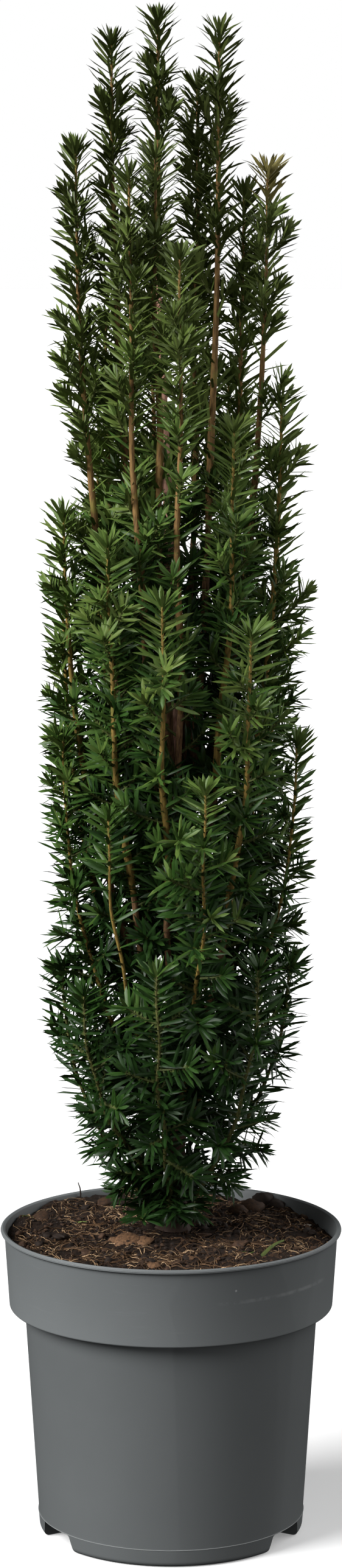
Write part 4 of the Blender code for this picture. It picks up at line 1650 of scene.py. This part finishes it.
class Spaces:
    """Shares out the crown: a mass keeps to what is nearer to its own stem than to any other."""

    STEP = 0.0025

    def __init__(self, skeleton: Skeleton, limbs: Sequence[Limb]) -> None:
        """Place points along every stem, the trunk and the boughs.

        Args:
            skeleton: The plant's lines.
            limbs: Every limb with a mass.
        """
        stems = {limb.name: skeleton.stem_path(limb, self.STEP) for limb in limbs}
        self.skeleton = skeleton
        self.own = {name: self.tree(points) for name, points in stems.items()}
        self.others = {
            name: self.tree([point for other, points in stems.items() if other != name for point in points])
            for name in stems
        }
        self.trunk = self.tree(skeleton.trunk_line(self.STEP))
        boughs = [skeleton.limb_path(limb, limb.foot, limb.leafy, self.STEP) for limb in BOUGHS]
        self.boughs = self.tree([point for path in boughs for point in path])

    @staticmethod
    def tree(points: Sequence[Vector]) -> KDTree:
        """Make a search tree.

        Args:
            points: The points that it holds.

        Returns:
            The tree.
        """
        tree = KDTree(len(points))
        for index, point in enumerate(points):
            tree.insert(point, index)
        tree.balance()
        return tree

    def beyond_border(self, name: str, point: Vector) -> float:
        """Return how far a point is past the border of its mass's space, below zero inside it."""
        return (self.own[name].find(point)[2] - self.others[name].find(point)[2]) / 2

    def from_wood(self, point: Vector) -> float:
        """Return the distance from a point to the nearest bark of trunk or bough."""
        trunk = self.trunk.find(point)[2] - self.skeleton.trunk_radius(max(point.z, self.skeleton.cut))
        return min(trunk, self.boughs.find(point)[2] - self.skeleton.bough_radius)


@dataclass(frozen=True)
class Habit:
    """How a shoot carries its needles.

    tip_step and foot_step are the distances between needles near its tip and at its foot, spread their
    angle to the shoot in degrees, length their plain length, bare the length at its foot without them,
    and tuft how many stand round its very tip.
    """

    tip_step: float
    foot_step: float
    spread: float
    length: float
    bare: float
    tuft: int


@dataclass
class Crown:
    """Every mass of foliage: stems, side shoots, twigs and needles.

    A scatter with two numbers is the range that chance picks from, but tone_scatter is a mean and a
    deviation, and a scatter with one number is a deviation. Half widths are those low in the crown and
    at its top, and side steps those between level shoots and between steep ones. The first of the side
    ranks, tuft lengths, start angles and end angles is the least, and the others are what is added.
    """

    skeleton: Skeleton
    middle: Vector = field(default_factory=lambda: Vector((0.004, 0.0)))
    reach: float = 0.103
    flatness: float = 0.92
    foot_reach: float = 0.032
    foot_swell: float = 0.170
    skirt: float = 0.004
    skirt_slope: float = 3.85
    airy_above: float = 0.98
    airy_fade: float = 0.30
    leader: Habit = Habit(0.0011, 0.0017, 67.0, 0.0250, 0.002, 13)
    trunk_leader: Habit = Habit(0.0012, 0.0017, 66.0, 0.0230, 0.008, 12)
    side: Habit = Habit(0.0015, 0.0021, 60.0, 0.0205, 0.003, 6)
    twig: Habit = Habit(0.0018, 0.0024, 56.0, 0.0175, 0.002, 3)
    leader_ranks: float = 0.20
    trunk_leader_ranks: float = 0.12
    side_ranks: Pair = (0.20, 0.30)
    rank_rise: float = 1.6
    rank_pull: float = 0.8
    forward: float = 0.30
    half_widths: Pair = (0.00146, 0.00124)
    width_scatter: Pair = (0.84, 1.12)
    shortenings: tuple[float, ...] = (1.0, 0.86, 0.72)
    droop_scatter: Pair = (-0.12, 0.20)
    lean_scatter: Pair = (-0.10, 0.10)
    roll_scatter: float = 0.32
    tip_zone: float = 0.022
    tip_closing: float = 0.18
    tip_shortening: float = 0.12
    tip_crowding: float = 0.55
    foot_crowding: float = 1.6
    steep_closing: float = 15.0
    spread_scatter: float = 5.5
    low_length: float = 1.12
    length_loss: float = 0.16
    length_scatter: Pair = (0.80, 1.06)
    step_scatter: Pair = (0.8, 1.2)
    tuft_spread: Pair = (14.0, 62.0)
    tuft_length: Pair = (0.52, 0.40)
    tuft_scatter: Pair = (0.88, 1.05)
    shed_needles: float = 0.85
    shed_shoots: float = 0.80
    light_rise: float = 0.55
    # partly painted shade: sprays deep in the crown get darker tones, partly for their older needles
    tone_by_depth: float = 0.55
    tone_scatter: Pair = (0.045, 0.080)
    spray: int = 7
    leg: float = 0.006
    ahead_room: float = 0.017
    border_slack: float = 0.012
    side_radii: Pair = (0.0011, 0.0006)
    twig_radii: Pair = (0.0008, 0.0005)
    twig_scatter: Pair = (0.40, 0.75)
    twig_angles: Pair = (52.0, 34.0)
    shortest_twig: float = 0.009
    start_angles: tuple[float, float, float] = (46.0, 22.0, 24.0)
    end_angles: tuple[float, float, float] = (20.0, 34.0, 28.0)
    droop_fade: float = 0.10
    shortest_shoot: float = 0.012
    foot_growth: float = 0.6
    growth_rise: float = 1.6
    tip_fade: float = 0.4
    shoot_scatter: Pair = (0.8, 1.75)
    first_shoot: float = 0.004
    last_shoot: float = 0.034
    side_steps: Pair = (0.0108, 0.0070)
    whorls_only: float = 0.76
    whorl_gap: float = 0.100
    whorl_below_tip: float = 0.072
    whorl_swell: float = 0.42
    whorl_scatter: Pair = (0.85, 1.15)
    bough_step: float = 0.012
    bough_fine_step: float = 0.004
    bough_shoot: Pair = (0.020, 0.034)
    bough_legs: int = 5
    steep_above: float = 0.78
    level_below: float = 0.48
    drooping_below: float = 0.34
    stem_radius: float = 0.0031
    green_radius: float = 0.0018
    green_below: float = 0.29
    olive_below: float = 0.42
    stem_tip_radius: float = 0.0008
    stem_swell: float = 0.0002
    stem_step: float = 0.005
    stem_sides: int = 9
    stem_rib: Rib = Rib(1.8, 0.30, 0.04, 8.0)
    stem_layers: float = 40.0
    window: Box = (Vector((-0.002, -0.2, 0.576)), Vector((0.011, 0.005, 0.626)))
    bronzed: Box = (Vector((0.045, -0.040, 0.962)), Vector((0.105, 0.030, 1.030)))
    most_faces: int = 190_000
    needles: dict[Tone, NeedleBank] = field(default_factory=lambda: {tone: NeedleBank() for tone in Tone})
    brown: Bank = field(default_factory=Bank)
    olive: Bank = field(default_factory=Bank)
    green: Bank = field(default_factory=Bank)
    twigs: Bank = field(default_factory=Bank)
    spaces: Spaces = field(init=False)

    def __post_init__(self) -> None:
        """Share out the crown among the stems."""
        self.spaces = Spaces(self.skeleton, LIMBS)

    def from_middle(self, point: Vector) -> float:
        """Return a point's distance from the crown's middle, counted shorter toward front and back."""
        out = point.xy - self.middle
        return math.hypot(out.x, out.y * self.flatness)

    def widest(self, height: float) -> float:
        """Return the crown's reach from its middle at a height above the trunk's cut."""
        return min(self.reach, self.foot_reach + self.foot_swell * math.sqrt(max(0.0, height)))

    def inside(self, point: Vector) -> bool:
        """Tell whether a point is within the crown's outline and clear of the soil.

        Args:
            point: The point.

        Returns:
            Whether it is.
        """
        above = point.z - self.skeleton.cut
        if self.from_middle(point) > self.widest(above):
            return False
        return (point.xy - self.skeleton.trunk_foot).length < self.skirt + self.skirt_slope * above

    def depth(self, point: Vector) -> float:
        """Find how deep a point lies in the crown.

        Args:
            point: The point.

        Returns:
            From 0 at the outline and near the top to 1 in the middle low down.
        """
        above = point.z - self.skeleton.cut
        from_outline = 1.0 - self.from_middle(point) / self.widest(above)
        return max(0.0, from_outline) * clamped((self.airy_above - point.z) / self.airy_fade)

    def holds(self, limb: Limb, point: Vector, slack: float) -> bool:
        """Tell whether a limb's shoot may pass a point: in the crown, in its space, clear of wood."""
        own = self.spaces.beyond_border(limb.name, point) < slack and not within(self.window, point)
        return own and self.inside(point) and self.spaces.from_wood(point) > 4 * GAP

    def tone(self, point: Vector, rng: random.Random) -> Tone:
        """Pick the tone of a spray, by its height, its depth in the crown and chance.

        Args:
            point: Where the spray starts.
            rng: Source of chance.

        Returns:
            The tone.
        """
        # depth darkens the tone: partly painted shade, partly the older needles inside the crown
        wanted = point.z - self.tone_by_depth * self.depth(point) + rng.gauss(*self.tone_scatter)
        nearest = min(Tone, key=lambda tone: abs(tone.value[3] - wanted))
        return Tone.BRONZE if within(self.bronzed, point) else nearest

    def needle(
        self,
        bank: NeedleBank,
        root: Vector,
        stance: tuple[Vector, Vector],
        length: float,
        rng: random.Random,
    ) -> None:
        """Add one needle, shortened where the crown's outline or wood is in its way.

        Args:
            bank: The needles of its tone.
            root: Where it leaves the shoot.
            stance: Its heading, and the way its upper side faces.
            length: Its full length.
            rng: Source of chance.
        """
        heading, facing = stance
        for size in self.shortenings:
            reach = root + heading * (length * size)
            hides = within(self.window, reach) or within(self.window, root.lerp(reach, 0.5))
            if not hides and self.inside(reach) and self.spaces.from_wood(reach) > GAP:
                low, high = self.half_widths
                half = low + (high - low) * self.steepness(root.z)
                half *= rng.uniform(*self.width_scatter) * (0.6 + 0.4 * size)
                bend = (rng.uniform(*self.droop_scatter), rng.uniform(*self.lean_scatter))
                bank.add(root, heading, facing, (length * size, half), bend)
                return

    def light_at(self, point: Vector) -> Vector:
        """Return the way the light comes from at a point: out of the crown and up."""
        out = point.xy - self.middle
        return Vector((out.x, out.y, self.light_rise * self.reach)).normalized()

    def beside(self, ahead: Vector, light: Vector, turn: float, ranks: float) -> Vector:
        """Pick a way square to a shoot, drawn toward two ranks that lie square to the light.

        Args:
            ahead: The shoot's direction.
            light: The way the light comes from.
            turn: The turn round the shoot without that pull.
            ranks: From 0, no pull, to 1, nearly in the ranks.

        Returns:
            The way.
        """
        lift = light - ahead * ahead.dot(light)
        ranks *= min(1.0, self.rank_rise * lift.length)
        if ranks < 0.01:
            return sideways(ahead, turn)
        lift.normalize()
        angle = turn % math.tau - math.pi
        rank = math.copysign(math.pi / 2, angle)
        angle = rank + (angle - rank) * (1.0 - self.rank_pull * ranks)
        return lift * math.cos(angle) + ahead.cross(lift) * math.sin(angle)

    def dress(
        self,
        path: Sequence[Vector],
        rng: random.Random,
        habit: Habit,
        ranks: float,
        bare: Pair = (0.0, 0.0),
    ) -> None:
        """Set needles along a shoot.

        Args:
            path: The shoot's line.
            rng: Source of chance.
            habit: How it carries them.
            ranks: From 0, needles all round, to 1, needles in two ranks.
            bare: Heights between which few are left.
        """
        legs = legs_of(path)
        total = sum(legs)
        turn = rng.uniform(0.0, math.tau)
        travelled, count = habit.bare, 0
        while travelled < total:
            left, leg = travelled, 0
            while leg < len(legs) - 1 and left > legs[leg]:
                left -= legs[leg]
                leg += 1
            ahead = heading_of(path, leg)
            root = path[leg] + ahead * left
            if count % self.spray == 0:
                bank = self.needles[self.tone(root, rng)]
            steep = self.steepness(root.z)
            near_tip = max(0.0, 1.0 - (total - travelled) / self.tip_zone)
            spread = rng.gauss(habit.spread - self.steep_closing * steep, self.spread_scatter)
            spread *= 1.0 - self.tip_closing * near_tip**1.5
            side = self.beside(ahead, self.light_at(root), turn, ranks)
            shorter = 1.0 - self.tip_shortening * near_tip
            length = habit.length * rng.uniform(*self.length_scatter) * shorter
            length *= self.low_length - self.length_loss * steep
            if not (bare[0] < root.z < bare[1] and rng.random() < self.shed_needles):
                self.set_needle(bank, root, ahead, side, math.radians(spread), length, rng)
            turn += GOLDEN_ANGLE
            count += 1
            crowded = min(1.0, self.foot_crowding * travelled / total)
            step = habit.foot_step + (habit.tip_step - habit.foot_step) * crowded
            travelled += step * (1.0 - self.tip_crowding * near_tip) * rng.uniform(*self.step_scatter)
        self.set_tuft(path, turn, habit, rng)

    def set_tuft(self, path: Sequence[Vector], turn: float, habit: Habit, rng: random.Random) -> None:
        """Set needles round the very tip of a shoot, longer the wider they stand.

        Args:
            path: The shoot's line.
            turn: The last needle's turn round it.
            habit: How it carries them.
            rng: Source of chance.
        """
        ahead = heading_of(path, len(path) - 2)
        bank = self.needles[self.tone(path[-1], rng)]
        narrow, wide = self.tuft_spread
        least, more = self.tuft_length
        for _ in range(habit.tuft):
            turn += GOLDEN_ANGLE
            spread = rng.uniform(narrow, wide)
            length = habit.length * rng.uniform(*self.tuft_scatter) * (least + more * spread / wide)
            self.set_needle(bank, path[-1], ahead, sideways(ahead, turn), math.radians(spread), length, rng)

    def set_needle(
        self,
        bank: NeedleBank,
        root: Vector,
        ahead: Vector,
        side: Vector,
        spread: float,
        length: float,
        rng: random.Random,
    ) -> None:
        """Set one needle on a shoot.

        Args:
            bank: The needles of its tone.
            root: Where it leaves the shoot.
            ahead: The shoot's direction there.
            side: The side of the shoot that it stands on.
            spread: Its angle to the shoot.
            length: Its length.
            rng: Source of chance.
        """
        heading = ahead * math.cos(spread) + side * math.sin(spread)
        wanted = self.light_at(root).lerp(ahead, self.forward)
        facing = wanted - heading * wanted.dot(heading)
        if facing.length < 0.15:
            facing = ahead - heading * ahead.dot(heading)
        facing = Quaternion(heading, rng.gauss(0.0, self.roll_scatter)) @ facing.normalized()
        self.needle(bank, root, (heading, facing), length, rng)

    def side_path(
        self, limb: Limb, root: Vector, ahead: Vector, turn: float, length: float, angles: Pair
    ) -> list[Vector]:
        """Draw a line that leaves its stem and curves upward, as far as its space allows.

        Args:
            limb: The limb whose space it keeps to.
            root: Where it leaves its stem.
            ahead: The stem's direction there.
            turn: Which side of the stem it is on.
            length: Its full length.
            angles: Its angles to the stem at its start and end, in degrees.

        Returns:
            Its points.
        """
        out = sideways(ahead, turn)
        legs = max(4, round(length / self.leg))
        points = [root]
        for leg in range(legs):
            angle = math.radians(angles[0] + (angles[1] - angles[0]) * leg / (legs - 1))
            heading = ahead * math.cos(angle) + out * math.sin(angle)
            reached = points[-1] + heading * (length / legs)
            if leg > 0 and not self.holds(limb, reached + heading * self.ahead_room, self.border_slack):
                break
            points.append(reached)
        return points

    def side_shoot(self, limb: Limb, path: list[Vector], rng: random.Random) -> None:
        """Add a side shoot with its needles, and small twigs on a long one.

        Args:
            limb: The limb whose space it keeps to.
            path: Its line. With fewer than three points it is left out.
            rng: Source of chance.
        """
        if len(path) < 3:
            return
        total = sum(legs_of(path))
        self.twigs.add(tube(path, np.linspace(*self.side_radii, len(path)), 4))
        steep, level = self.side_ranks
        ranks = steep + level * self.side_angles(path[0].z)[0]
        self.dress(path, rng, self.side, ranks)
        turn = rng.uniform(0.0, math.tau)
        for index in range(2, len(path) - 1, 2):
            length = (total - self.leg * index) * rng.uniform(*self.twig_scatter)
            turn += GOLDEN_ANGLE
            if length > self.shortest_twig:
                ahead = heading_of(path, index)
                twig = self.side_path(limb, path[index], ahead, turn, length, self.twig_angles)
                if len(twig) > 2:
                    self.twigs.add(tube(twig, np.linspace(*self.twig_radii, len(twig)), 3))
                    self.dress(twig, rng, self.twig, ranks)

    def steepness(self, height: float) -> float:
        """Return how steeply needles stand at a height, from 0 below to 1 at the top."""
        return clamped((height - self.level_below) / (1.0 - self.level_below))

    def side_angles(self, height: float) -> tuple[float, float, float]:
        """Find how side shoots stand.

        Args:
            height: Where they leave their stem.

        Returns:
            How level they stand, from 0 to 1, and their angles at start and end, in degrees.
        """
        level = clamped((self.steep_above - height) / (self.steep_above - self.level_below))
        droop = clamped((self.drooping_below - height) / self.droop_fade)
        angles = (self.start_angles, self.end_angles)
        start, end = (steep + opened * level + drooped * droop for steep, opened, drooped in angles)
        return level, start, end

    def add_stem(self, limb: Limb, path: Sequence[Vector]) -> None:
        """Add the stem of one mass, brown in the upper crown and green lowest down.

        Args:
            limb: The limb.
            path: Its stem's line.
        """
        foot_radius = self.green_radius if limb in TRUNK_SHOOTS else self.stem_radius
        radii = np.linspace(foot_radius, self.stem_tip_radius, len(path))
        radii = np.minimum(radii, self.skeleton.bough_radius + self.stem_swell * np.arange(len(path)))
        rib = replace(self.stem_rib, layer=limb.foot * self.stem_layers)
        wood = self.brown
        if limb.foot < self.olive_below:
            wood = self.green if limb.foot < self.green_below else self.olive
        wood.add(tube(path, rib.carved(path, radii, self.stem_sides), self.stem_sides))

    def grow(self, limb: Limb) -> None:
        """Grow one mass on its stem.

        Args:
            limb: The limb that carries it.
        """
        rng = random.Random(f"{SEED} {limb.name}")
        path = self.skeleton.stem_path(limb, self.stem_step)
        total = sum(legs_of(path))
        self.add_stem(limb, path)
        if limb in TRUNK_SHOOTS:
            self.dress(path, rng, self.trunk_leader, self.trunk_leader_ranks, limb.bare)
        else:
            self.dress(path, rng, self.leader, self.leader_ranks, limb.bare)
        turn = rng.uniform(0.0, math.tau)
        whorls = self.whorl_below_tip * rng.uniform(*self.whorl_scatter)
        travelled = self.first_shoot
        while travelled < total - self.last_shoot:
            share = travelled / total
            index = min(len(path) - 2, round(share * (len(path) - 1)))
            ahead = heading_of(path, index)
            growth = min(1.0, self.foot_growth + self.growth_rise * share) * (1.0 - share) ** self.tip_fade
            swell = math.cos(math.tau * (total - travelled - whorls) / self.whorl_gap)
            growth *= 1.0 + self.whorl_swell * swell
            length = max(self.shortest_shoot, limb.spread * growth * rng.uniform(*self.shoot_scatter))
            level, start, end = self.side_angles(path[index].z)
            turn += GOLDEN_ANGLE
            dropped = self.whorls_only * (1.0 - level) * (0.5 - 0.5 * swell)
            if limb.bare[0] < path[index].z < limb.bare[1]:
                dropped = self.shed_shoots
            if rng.random() >= dropped:
                shoot = self.side_path(limb, path[index], ahead, turn, length, (start, end))
                self.side_shoot(limb, shoot, rng)
            dense, loose = self.side_steps
            travelled += (loose + (dense - loose) * level) * rng.uniform(*self.step_scatter)

    def clothe_bough(self, limb: Limb) -> None:
        """Grow short shoots along a bough, below the foot of its mass.

        Args:
            limb: The limb that the bough belongs to.
        """
        rng = random.Random(f"{SEED} bough {limb.name}")
        path = self.skeleton.limb_path(limb, limb.foot, limb.leafy, self.bough_fine_step)
        turn = rng.uniform(0.0, math.tau)
        stride = round(self.bough_step / self.bough_fine_step)
        for index in range(len(path) // 3, len(path) - 1, stride):
            ahead = heading_of(path, index)
            turn += GOLDEN_ANGLE
            out = sideways(ahead, turn)
            shoot = [path[index] + out * self.skeleton.bough_radius]
            stride_out = rng.uniform(*self.bough_shoot) / self.bough_legs
            _, start, end = self.side_angles(path[index].z)
            for leg in range(self.bough_legs):
                angle = math.radians(start + (end - start) * leg / (self.bough_legs - 1))
                reached = shoot[-1] + (ahead * math.cos(angle) + out * math.sin(angle)) * stride_out
                if not self.inside(reached) or (leg and self.spaces.from_wood(reached) < 5 * GAP):
                    break
                shoot.append(reached)
            self.side_shoot(limb, shoot, rng)

    def build(self) -> None:
        """Grow every mass, then join twigs and needles into their pieces."""
        for limb in LIMBS:
            self.grow(limb)
        for limb in BOUGHS:
            self.clothe_bough(limb)
        nodes = [f"foliage_{limb.name}" for limb in LIMBS]
        place_piece(Bark.BROWN.join("brown_stems", self.brown), nodes)
        place_piece(Bark.OLIVE.join("olive_stems", self.olive), nodes)
        place_piece(Bark.GREEN.join("green_stems", self.green), nodes)
        place_piece(Bark.TWIG.join("green_twigs", self.twigs), nodes)
        for tone, bank in self.needles.items():
            self.build_needles(tone, bank, nodes)

    def build_needles(self, tone: Tone, bank: NeedleBank, nodes: Sequence[str]) -> None:
        """Join the needles of one tone into pieces of an allowed size.

        Args:
            tone: The tone.
            bank: Its needles.
            nodes: The solids that they stand for.
        """
        points, faces, kinds = bank.arrays()
        total = len(bank.rows)
        stride, per_needle = len(points) // total, len(faces) // total
        materials = tone.materials()
        parts = math.ceil(total * per_needle / self.most_faces)
        for part in range(parts):
            first, last = total * part // parts, total * (part + 1) // parts
            cut = slice(first * per_needle, last * per_needle)
            name = f"{tone.value[0]}_needles_{part + 1}"
            chosen = points[first * stride : last * stride]
            mesh = mesh_of(name, chosen, faces[cut] - first * stride, kinds[cut], bank.SHARP)
            place_piece(add_object(name, mesh, materials), nodes)
        log.info("%s: %d needles", tone.value[0], total)


# Studio


@dataclass(frozen=True)
class SoftSun:
    """A broad, distant light: where it stands from, its strength and its width in degrees."""

    name: str
    stands: tuple[float, float, float]
    strength: float
    width: float

    def build(self) -> None:
        """Add the light."""
        lamp = bpy.data.lights.new(self.name, "SUN")
        lamp.energy = self.strength
        lamp.angle = math.radians(self.width)
        made = bpy.data.objects.new(self.name, lamp)
        bpy.context.scene.collection.objects.link(made)
        made.rotation_euler = Vector(self.stands).to_track_quat("Z", "Y").to_euler()


@dataclass
class Studio:
    """Pale floor, soft light from the upper left, and the camera at the photo's viewing angle."""

    camera_place: tuple[float, float, float] = (0.0, -2.7559, 0.9504)
    camera_pitch: float = 0.1427
    focal_mm: float = 88.54
    sensor_mm: float = 36.0
    sight: float = 200.0
    floor_reach: float = 60.0
    floor_sides: int = 96
    suns: tuple[SoftSun, ...] = (
        SoftSun("key", (-1.10, -0.60, 0.85), 5.0, 36.0),
        SoftSun("fill", (0.40, -1.00, 0.35), 0.9, 110.0),
        SoftSun("back", (1.00, 0.30, 0.55), 1.6, 60.0),
    )

    def build(self) -> None:
        """Add floor, sky, lights and camera."""
        self.build_floor()
        self.build_sky()
        for sun in self.suns:
            sun.build()
        self.build_camera()

    def build_floor(self) -> None:
        """Add the floor that the pot stands on."""
        turns = [math.tau * side / self.floor_sides for side in range(self.floor_sides)]
        rim = [(self.floor_reach * math.cos(t), self.floor_reach * math.sin(t), 0.0) for t in turns]
        mesh = bpy.data.meshes.new("floor")
        mesh.from_pydata(rim, [], [tuple(range(self.floor_sides))])
        floor = add_object("floor", mesh, (PaperFinish().material(),))
        floor.visible_diffuse = False
        floor.visible_glossy = False

    def build_sky(self) -> None:
        """Add the plain white surround, which the camera sees and which adds no light."""
        world = bpy.data.worlds.new("white_surround")
        world.use_nodes = True
        world.node_tree.nodes["Background"].inputs["Color"].default_value = (1.0, 1.0, 1.0, 1.0)
        world.node_tree.nodes["Background"].inputs["Strength"].default_value = 1.0
        world.cycles_visibility.diffuse = False
        world.cycles_visibility.glossy = False
        bpy.context.scene.world = world
        bpy.context.scene.view_settings.view_transform = "Standard"

    def build_camera(self) -> None:
        """Add the camera."""
        data = bpy.data.cameras.new("camera")
        data.lens = self.focal_mm
        data.sensor_width = self.sensor_mm
        data.clip_end = self.sight
        camera = bpy.data.objects.new("camera", data)
        bpy.context.scene.collection.objects.link(camera)
        camera.location = self.camera_place
        camera.rotation_euler = (math.pi / 2 - self.camera_pitch, 0.0, 0.0)
        bpy.context.scene.camera = camera


def main() -> None:
    """Build the studio, then the plant piece by piece."""
    logging.basicConfig(level=logging.INFO, format="%(message)s")
    Studio().build()
    pot = Pot()
    pot.build(PlasticFinish())
    # painted highlight: the seam's plastic is paler than the pot's, for the lit edge of the moulding line
    wear_and_highlight = PlasticFinish((0.200, 0.210, 0.210), (0.320, 0.330, 0.330), body_painted_shade=1.0, roughness=0.40)
    pot.build_seam(wear_and_highlight)
    soil = Soil(pot)
    soil.build_plug()
    soil.build_straw()
    soil.build_crumbs()
    soil.build_scraps()
    skeleton = Skeleton(soil)
    timber = Timber(skeleton)
    timber.build_trunk()
    timber.build_boughs()
    Crown(skeleton).build()


if __name__ == "__main__":
    main()
